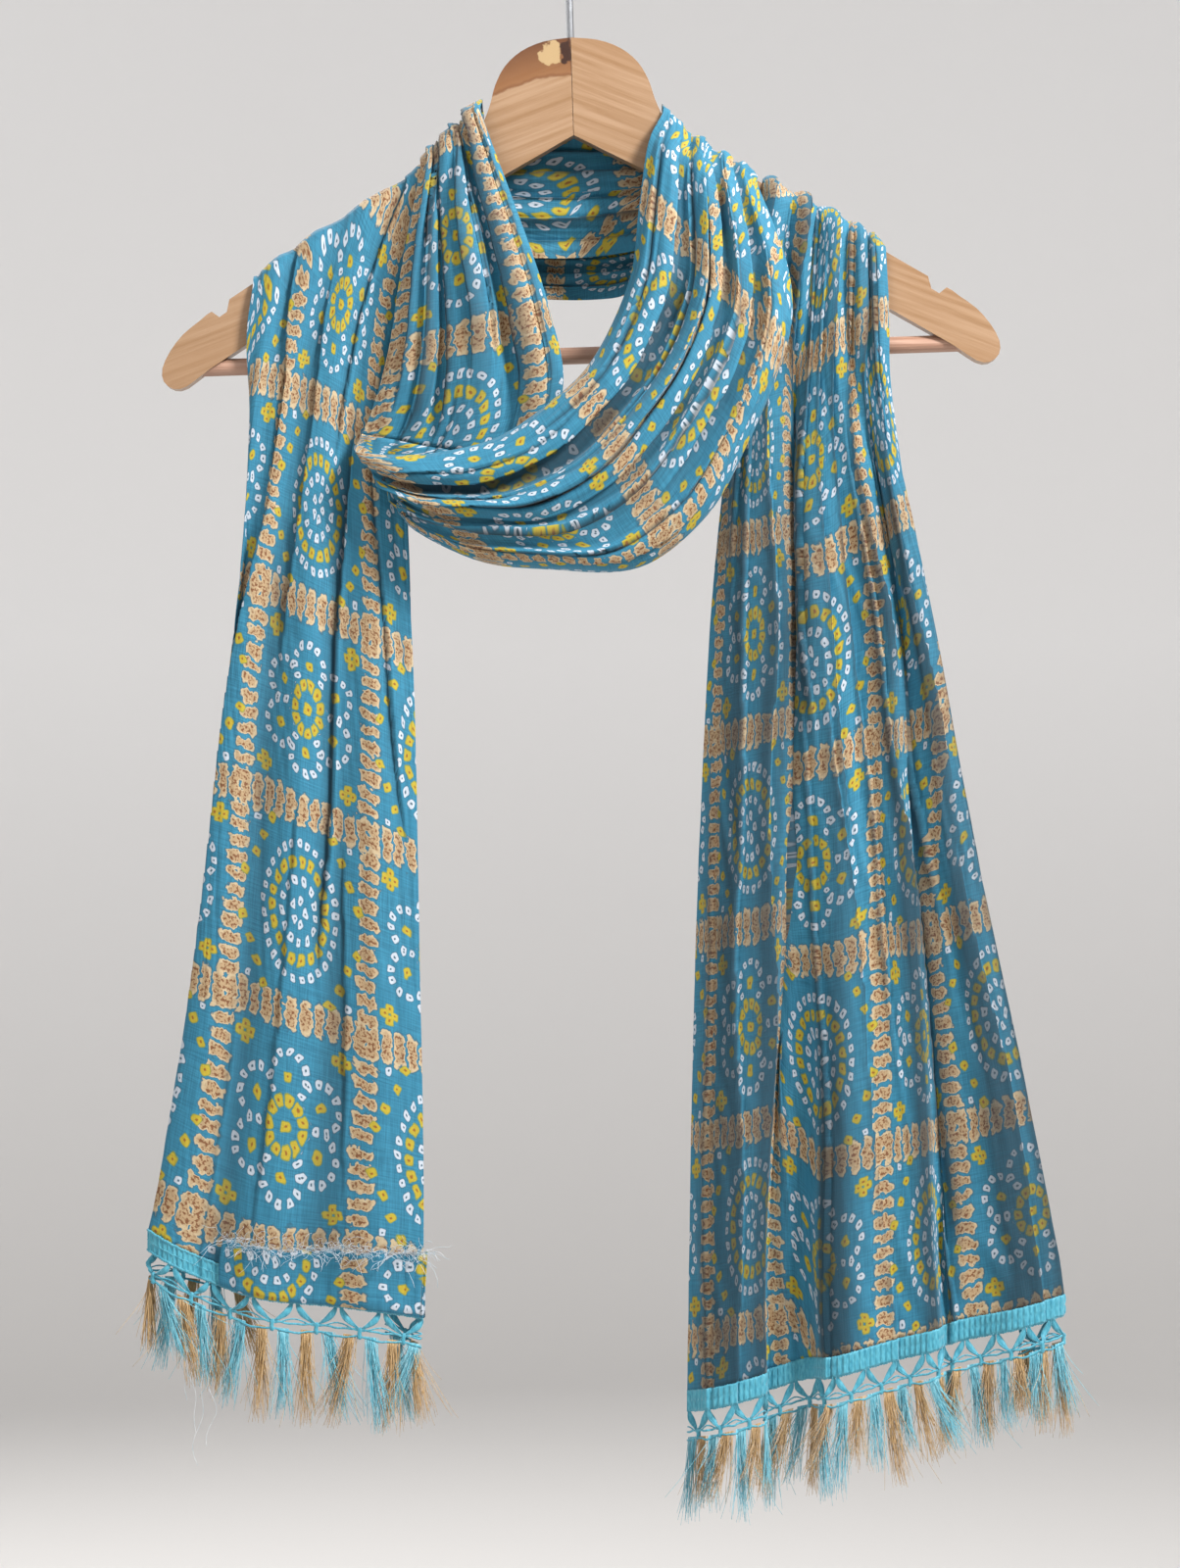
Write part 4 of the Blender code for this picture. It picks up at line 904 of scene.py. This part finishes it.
# One stretch of the cloth
def clothPiece(name):
    low, high = cuts[name]
    grid = clothWorld[low:high + 1]
    rows, columns = grid.shape[:2]
    inks = printUv[low:high + 1].reshape(-1, 2)
    faces = gridFaces(rows, columns)[:, ::facing]
    made = meshPiece(f"cloth_{name}", grid.reshape(-1, 3), faces.tolist(), cotton, uvs=inks)
    # fold depth of each point, which the cloth's finish reads for its painted fold shade
    made.data.attributes.new("foldDepth", "FLOAT", "POINT").data.foreach_set(
        "value", foldShade[low:high + 1].ravel().astype(np.float32))
    # where two pleats meet the print jumps: the quads there keep the print of the pleat before them
    printSteps = np.abs(np.diff(printUv[(low + high) // 2, :, 0]))
    jump = int(np.argmax(printSteps))
    if printSteps[jump] > printPlan["jump"] * mm:
        vertices = np.empty(len(made.data.loops), dtype=np.int32)
        made.data.loops.foreach_get("vertex_index", vertices)
        quad = np.arange(len(vertices)) // 4
        vertices[(quad % (columns - 1) == jump) & (vertices % columns == jump + 1)] -= 1
        made.data.uv_layers["print"].data.foreach_set("uv", inks[vertices].ravel())
    return settle(thicken(made), "printed_cloth", name)


clothPieces = {name: clothPiece(name) for name in cuts}
print("stage: cloth pieces")

# Crochet edging and fringe below each end, in mm
edgingPlan = {
    "left": {"repeats": 10, "tuft": 72, "length": 47.0, "seed": 41},
    "right": {"repeats": 17, "tuft": 60, "length": 47.0, "seed": 87},
    "start": 0.2, "band": 10.5, "petal": 11.0, "cordGap": 4.2, "cord": 0.6,
    "rib": 3.0, "perRib": 8,                       # width of one heading stitch, points across it
    "groove": 0.55, "swell": 0.25, "forward": 0.75, "thick": 1.3,
    "headingCords": ((0.02, 0.8), (0.5, 0.6), (1.0, 0.85)),      # level in the heading, radius
    "petalThin": 0.45, "petalFat": 1.35, "petalEdge": 0.28, "arch": 0.42,
    "knot": ((-0.35, 0.4), (-0.2, 1.1), (0, 1.5), (0.25, 1.1),   # share of the way between cords, radius
             (0.5, 1.2), (0.75, 1.1), (1.0, 1.45), (1.2, 0.4)),
    "strand": 0.17,
}
downwards = np.array([0, 0, -1.0])


# An end of the cloth: its points, the way out from each, and the running length, left to right
def hemLine(side):
    row = 0 if side == "left" else rowCount - 1
    foot, out = clothWorld[row], worldNormals[row]
    if side == "right":
        foot, out = foot[::-1], out[::-1]
    run = np.concatenate([[0], np.cumsum(np.linalg.norm(np.diff(foot, axis=0), axis=1))])
    flat = out * (1, 1, 0)
    return foot, flat / np.maximum(np.linalg.norm(flat, axis=1, keepdims=True), 1e-9), run


# The point and the way out at a distance along a hem
def hemAt(hem, distance):
    foot, out, run = hem
    point, way = (np.array([np.interp(distance, run, part[:, k]) for k in range(3)]) for part in (foot, out))
    return point, way / max(np.linalg.norm(way), 1e-9)


# A tube of few sides through points, added to shared lists
def addTube(points, faces, route, radii, sides=5, flat=1.0):
    route = np.asarray(route, float)
    way = np.gradient(route, axis=0)
    way /= np.maximum(np.linalg.norm(way, axis=1, keepdims=True), 1e-9)
    guide = np.array([0.0, 1.0, 0.0])
    first = len(points)
    for spot, ahead, radius in zip(route, way, np.broadcast_to(radii, len(route))):
        side = np.cross(ahead, guide)
        side /= max(np.linalg.norm(side), 1e-9)
        other = np.cross(side, ahead)
        for turn in (2 * math.pi * k / sides for k in range(sides)):
            points.append(spot + radius * (side * math.cos(turn) + other * math.sin(turn) * flat))
    faces += (gridFaces(len(route), sides, closed=True) + first).tolist()
    last = first + (len(route) - 1) * sides
    faces += [[first + k for k in range(sides)], [last + k for k in reversed(range(sides))]]


# Turns every face of a closed piece outwards
def outwards(piece):
    shape = bmesh.new()
    shape.from_mesh(piece.data)
    bmesh.ops.recalc_face_normals(shape, faces=shape.faces)
    shape.to_mesh(piece.data)
    shape.free()
    return piece


# Heading: two rows of upright stitches between cords, a stitch every rib
def heading(points, faces, hem):
    plan = edgingPlan
    total, perRib = hem[2][-1], plan["perRib"]
    ribs = int(total / (plan["rib"] * mm))
    levels = np.linspace(0, 1, 13)
    grid, outs = [], []
    for i in range(ribs * perRib + 1):
        point, out = hemAt(hem, total * i / (ribs * perRib))
        phase = (i % perRib) / perRib
        groove = -plan["groove"] * math.exp(-((phase - 0.5) / 0.13) ** 2)
        row = []
        for level in levels:
            ladder = abs(math.sin(2 * math.pi * level)) ** 0.5
            swell = plan["swell"] * math.sin(2 * math.pi * phase) * ladder + groove * ladder
            drop = plan["start"] + plan["band"] * level + 0.15 * math.sin(i * 0.37)
            row.append(point + downwards * drop * mm + out * (swell + plan["forward"]) * mm)
        grid.append(row)
        outs.append(out)
    quads = gridFaces(len(grid), len(levels))
    half = len(grid) * len(levels)
    for behind, sheet in ((0, quads), (plan["thick"] * mm, quads[:, ::-1] + half)):
        for row, out in zip(grid, outs):
            points.extend([p - out * behind for p in row])
        faces += sheet.tolist()
    order = np.arange(half).reshape(len(grid), -1)
    border = np.concatenate([order[0], order[1:, -1], order[-1, -2::-1], order[-2:0:-1, 0]]).tolist()
    for here, there in zip(border, border[1:] + border[:1]):
        faces.append([here, there, there + half, here + half])
    for level, radius in plan["headingCords"]:
        route = []
        for i in range(ribs * 4 + 1):
            point, out = hemAt(hem, total * i / (ribs * 4))
            drop = plan["start"] + plan["band"] * level + 0.15 * math.sin(i * 0.9)
            route.append(point + downwards * drop * mm + out * 0.35 * mm)
        addTube(points, faces, route, [radius * mm * (1 + 0.18 * (-1) ** i) for i in range(len(route))], 6)


# Crochet edging: leaf-shaped petals in pairs from each knot, a thin loop arching from knot to knot
# above the two cords that they end on
def lacePiece(side):
    plan = edgingPlan
    hem = hemLine(side)
    total, repeats = hem[2][-1], plan[side]["repeats"]
    pitch = total / repeats
    netTop = plan["start"] + plan["band"]
    netLow = netTop + plan["petal"]
    points, faces = [], []
    heading(points, faces, hem)

    def onHem(distance, drop, forward=0.0):
        point, out = hemAt(hem, min(max(distance, 0), total))
        return point + downwards * drop * mm + out * forward * mm

    for knot in ((i + 0.5) * pitch for i in range(repeats)):
        for lean in (-1, 1):
            top = knot + lean * 0.44 * pitch
            route, radii = [], []
            for step in range(11):
                t = step / 10
                belly = math.sin(math.pi * t)
                route.append(onHem(top + (knot + lean * 0.6 * mm - top) * t + 0.10 * pitch * belly * lean,
                                   netTop - 0.4 + (netLow - netTop) * t, 0.5 * belly))
                radii.append((plan["petalThin"] + plan["petalFat"] * belly ** 1.3) * mm)
            addTube(points, faces, route, radii, 8, 0.42)
            for edgeSide in (-1, 1):      # raised edge of each petal
                edge = [spot + np.array([edgeSide * radius * 0.85, -0.0003, 0])
                        for spot, radius in zip(route, radii)]
                addTube(points, faces, edge, plan["petalEdge"] * mm)
            arch = [onHem(knot + lean * 0.5 * pitch * step / 6,
                          netLow - 3.0 * math.sin(math.pi * step / 12) ** 2 + 0.6, 0.2) for step in range(7)]
            addTube(points, faces, arch, plan["arch"] * mm)
        route = [onHem(knot + 0.35 * mm * math.sin(3 * h), netLow + h * plan["cordGap"], 0.25)
                 for h, _ in plan["knot"]]
        addTube(points, faces, route, [radius * mm for _, radius in plan["knot"]], 8, 0.7)
    for level in (0, plan["cordGap"]):
        route = []
        for i in range(repeats * 10 + 1):
            phase = 2 * math.pi * (i / 10 - 0.5)
            sag = -0.7 * math.cos(phase) * (1 if level else 0.5) + 0.2 * math.sin(i * 1.7 + level)
            route.append(onHem(total * i / (repeats * 10), netLow + level + sag))
        addTube(points, faces, route, plan["cord"] * mm, 6)
    made = outwards(meshPiece(f"crochet_{side}", points, faces, yarnTurquoise))
    return settle(made, "crochet", f"lace_{side}"), netLow + plan["cordGap"]


# Fringe: tufts of single threads, turquoise and straw by turns
def fringePieces(side, startDrop):
    plan = edgingPlan[side]
    hem = hemLine(side)
    total, tufts = hem[2][-1], plan["repeats"] * 2
    pitch = total / tufts
    rng = np.random.default_rng(plan["seed"])
    made = []
    for colour, begin in (("turquoise", 0), ("straw", 1)):
        points, faces = [], []
        for centre in ((tuft + 0.5) * pitch for tuft in range(begin, tufts, 2)):
            tuftLean = rng.normal(0, 6.0)
            tuftLong = plan["length"] * rng.uniform(0.72, 1.12)
            for _ in range(plan["tuft"]):
                root, out = hemAt(hem, min(max(centre + rng.normal(0, 1.5) * mm, 0), total))
                sideways = np.cross(out, downwards)
                long = tuftLong * rng.uniform(0.7, 1.0) * (0.55 if rng.random() < 0.12 else 1)
                fan = tuftLean + rng.normal(0, 3.0 if rng.random() < 0.85 else 9.0)
                curl, front, kink = rng.normal(0, 1.5), rng.normal(0, 2.0), rng.uniform(0, 6.28)
                route, radii = [], []
                for t in (step / 8 for step in range(9)):
                    swing = fan * t ** 1.3 + curl * math.sin(3.4 * t + kink) * t
                    route.append(root + downwards * (startDrop - 1.2 + long * t) * mm + sideways * swing * mm
                                 + out * (front * t + 0.6 * math.sin(5 * t + kink) * t) * mm)
                    radii.append(edgingPlan["strand"] * mm * (1.35 - 0.75 * t))
                addTube(points, faces, route, radii, 3)
        piece = outwards(meshPiece(f"fringe_{side}_{colour}", points, faces, fringeThreads[colour]))
        made.append(settle(piece, "fringe_thread", f"fringe_{side}"))
    return made


for side in ("left", "right"):
    lace, below = lacePiece(side)
    [lace] + fringePieces(side, below)
print("stage: edging and fringe")

# The left end's raw edge, turned up in front
turnUpPlan = {
    "left": -184.0,                  # table x where the turned-up strip ends
    "height": (34.0, 24.0),          # mm at the tail's right edge and at that end
    "below": 10.2,                   # how far its fold hangs down over the edging's heading
    "lift": (2.6, 4.2),              # mm off the cloth at the fold and at the raw edge
    "frays": 300, "frayLong": (5.0, 22.0), "frayThick": 0.1,
    "loose": ((-199, 676, 58), (-193, 684, 66), (-189, 690, 50), (-204, 672, 44), (-96, 690, 30)),
}


# The strip folded up from the end of the cloth, column by column, with the print's back turned up
def turnedHem():
    plan = turnUpPlan
    startColumn = int(np.argmax(cloth[0, :, 0]))
    endColumn = startColumn + int(np.argmax(cloth[0, startColumn:, 0] < plan["left"]))
    columns = np.arange(startColumn + 1, endColumn + 1)
    ragged, wave = wander(len(columns), 26, 5), wander(len(columns), 9, 6)
    levels = np.linspace(0, 1, 9)
    (rightTall, leftTall), (foldLift, edgeLift) = plan["height"], plan["lift"]
    points, uvs = [], []
    for k, column in enumerate(columns):
        tall = (rightTall + (leftTall - rightTall) * (k / (len(columns) - 1)) + 1.2 * ragged[k]) * mm
        line, away, ink = (np.concatenate([part[:1, column], part[:12, column]])
                           for part in (clothWorld, worldNormals, printUv))
        line[0, 2] -= plan["below"] * mm
        ink[0, 1] -= plan["below"] * mm
        run = np.concatenate([[0], np.cumsum(np.linalg.norm(np.diff(line, axis=0), axis=1))])
        points.append(line[0] + away[0] * (foldLift - 1.0) * mm - (0, 0, 0.0003))
        uvs.append(ink[0])
        for level in levels:
            spot, out, inkSpot = (np.array([np.interp(tall * level, run, part[:, n])
                                            for n in range(part.shape[1])]) for part in (line, away, ink))
            lift = foldLift + (edgeLift - foldLift) * level ** 1.5 \
                + 1.3 * level * wave[k] + 0.25 * math.sin(k * 0.9 + level * 3)
            points.append(spot + out * lift * mm)
            uvs.append(2 * ink[0] - inkSpot)
    rows = len(levels) + 1
    faces = [[k * rows + n, k * rows + n + 1, (k + 1) * rows + n + 1, (k + 1) * rows + n]
             for k in range(len(columns) - 1) for n in range(rows - 1)]
    made = meshPiece("cloth_turned_hem", points, faces, cotton, uvs=uvs)
    if made.data.polygons[len(faces) // 2].normal.y > 0:
        made.data.flip_normals()
    return settle(thicken(made), "printed_cloth"), np.array(points[rows - 1::rows])


# Threads that stand out of the raw edge, and a few long ones that hang loose below
def frayedEnds(edge):
    plan = turnUpPlan
    rng = np.random.default_rng(61)
    points, faces = [], []
    for _ in range(plan["frays"]):
        root = edge[rng.integers(0, len(edge))]
        long = rng.uniform(*plan["frayLong"]) * rng.uniform(0.5, 1.0)
        way = np.array([rng.normal(0, 0.9), -rng.uniform(0.1, 0.8), rng.uniform(-0.3, 0.9)])
        way /= np.linalg.norm(way)
        curl, kink, droop = rng.uniform(0.4, 2.2), rng.uniform(0, 6.28), rng.uniform(0, 0.7)
        route = []
        for t in (step / 8 for step in range(9)):
            turn = 7 * t + kink
            swing = np.array([math.sin(turn), -0.4 * abs(math.cos(turn)), math.cos(turn)]) * curl * t
            route.append(root + (way * long * t + swing - (0, 0, droop * long * t * t)) * mm)
        addTube(points, faces, route, plan["frayThick"] * mm, 3)
    for x, drop, long in plan["loose"]:
        start = place(np.array([x, drop, 16.0]))
        kink = rng.uniform(0, 6.28)
        route = [start + np.array([4 * math.sin(5 * t + kink) * t + 1.5 * math.sin(13 * t),
                                   -2 * t + 1.2 * math.sin(9 * t), -long * t]) * mm
                 for t in (step / 24 for step in range(25))]
        addTube(points, faces, route, plan["frayThick"] * mm, 3)
    return settle(outwards(meshPiece("pulled_threads", points, faces, pulledThread)), "fringe_thread")


turnUp, rawEdge = turnedHem()
pulled = frayedEnds(rawEdge)

# The stage: one pale round sweep, so every side has the same plain ground
stagePlan = {"floor": -1.25, "flat": 3.2, "curve": 1.2, "wall": 1.8, "turns": 64}


def paleSweep():
    made, add, link = newFinish("pale_matt_paint", Roughness=0.9)
    where = add("TexCoord", output="Object")
    cloud = add("TexNoise", {"Vector": where, "Scale": 0.6, "Detail": 2.0}, "Fac")
    walls = add("Mix RGBA", {0: cloud, 6: linearColour("#EFEDEC"), 7: linearColour("#F4F3F2")}, 2)
    floor, flat, curve, turns = (stagePlan[key] for key in ("floor", "flat", "curve", "turns"))
    high = add("SeparateXYZ", (where,), "Z")
    rise = add("MapRange", {"Value": high, "From Min": floor, "From Max": floor + 1.0})
    link(add("Mix RGBA", {0: rise, 6: linearColour("#D6D3D0"), 7: walls}, 2), "Base Color")
    profile = [(0.02, floor), (flat, floor)]
    for turn in (math.radians(90 * step / 12) for step in range(1, 13)):
        profile.append((flat + curve * math.sin(turn), floor + curve * (1 - math.cos(turn))))
    profile.append((profile[-1][0], profile[-1][1] + stagePlan["wall"]))
    points = [(r * math.cos(2 * math.pi * k / turns), r * math.sin(2 * math.pi * k / turns), z)
              for r, z in profile for k in range(turns)]
    faces = [[i * turns + k, i * turns + (k + 1) % turns, (i + 1) * turns + (k + 1) % turns,
              (i + 1) * turns + k] for i in range(len(profile) - 1) for k in range(turns)]
    faces.append(list(reversed(range(turns))))
    meshPiece("pale_sweep", points, faces, made)


paleSweep()

lights = [  # name, place, aims at, width, power
    ("key_soft", (1.2, -1.0, 0.95), (0.0, 0.0, -0.15), 0.5, 84.0),
    ("fill_soft", (-1.2, -1.5, 1.0), (0.0, 0.0, -0.1), 1.0, 15.0),
    ("top_soft", (0.0, 0.2, 1.3), (0.0, 0.0, -0.4), 1.2, 7.0),
    ("back_soft", (-0.8, 2.0, 0.6), (0.0, 0.0, -0.4), 1.6, 26.0),
]
for name, where, aim, size, power in lights:
    data = bpy.data.lights.new(name, "AREA")
    data.shape = "SQUARE"
    data.size = size
    data.energy = power
    lamp = bpy.data.objects.new(name, data)
    lamp.location = where
    lamp.rotation_euler = (Vector(aim) - Vector(where)).to_track_quat("-Z", "Y").to_euler()
    bpy.context.scene.collection.objects.link(lamp)
world = bpy.data.worlds.new("pale_room")
world.use_nodes = True
world.node_tree.nodes["Background"].inputs["Color"].default_value = linearColour("#EEEFF1")
world.node_tree.nodes["Background"].inputs["Strength"].default_value = 0.52
bpy.context.scene.world = world
bpy.context.scene.view_settings.view_transform = "Standard"    # plain display, so the dyes keep their depth
print("stage: lights")
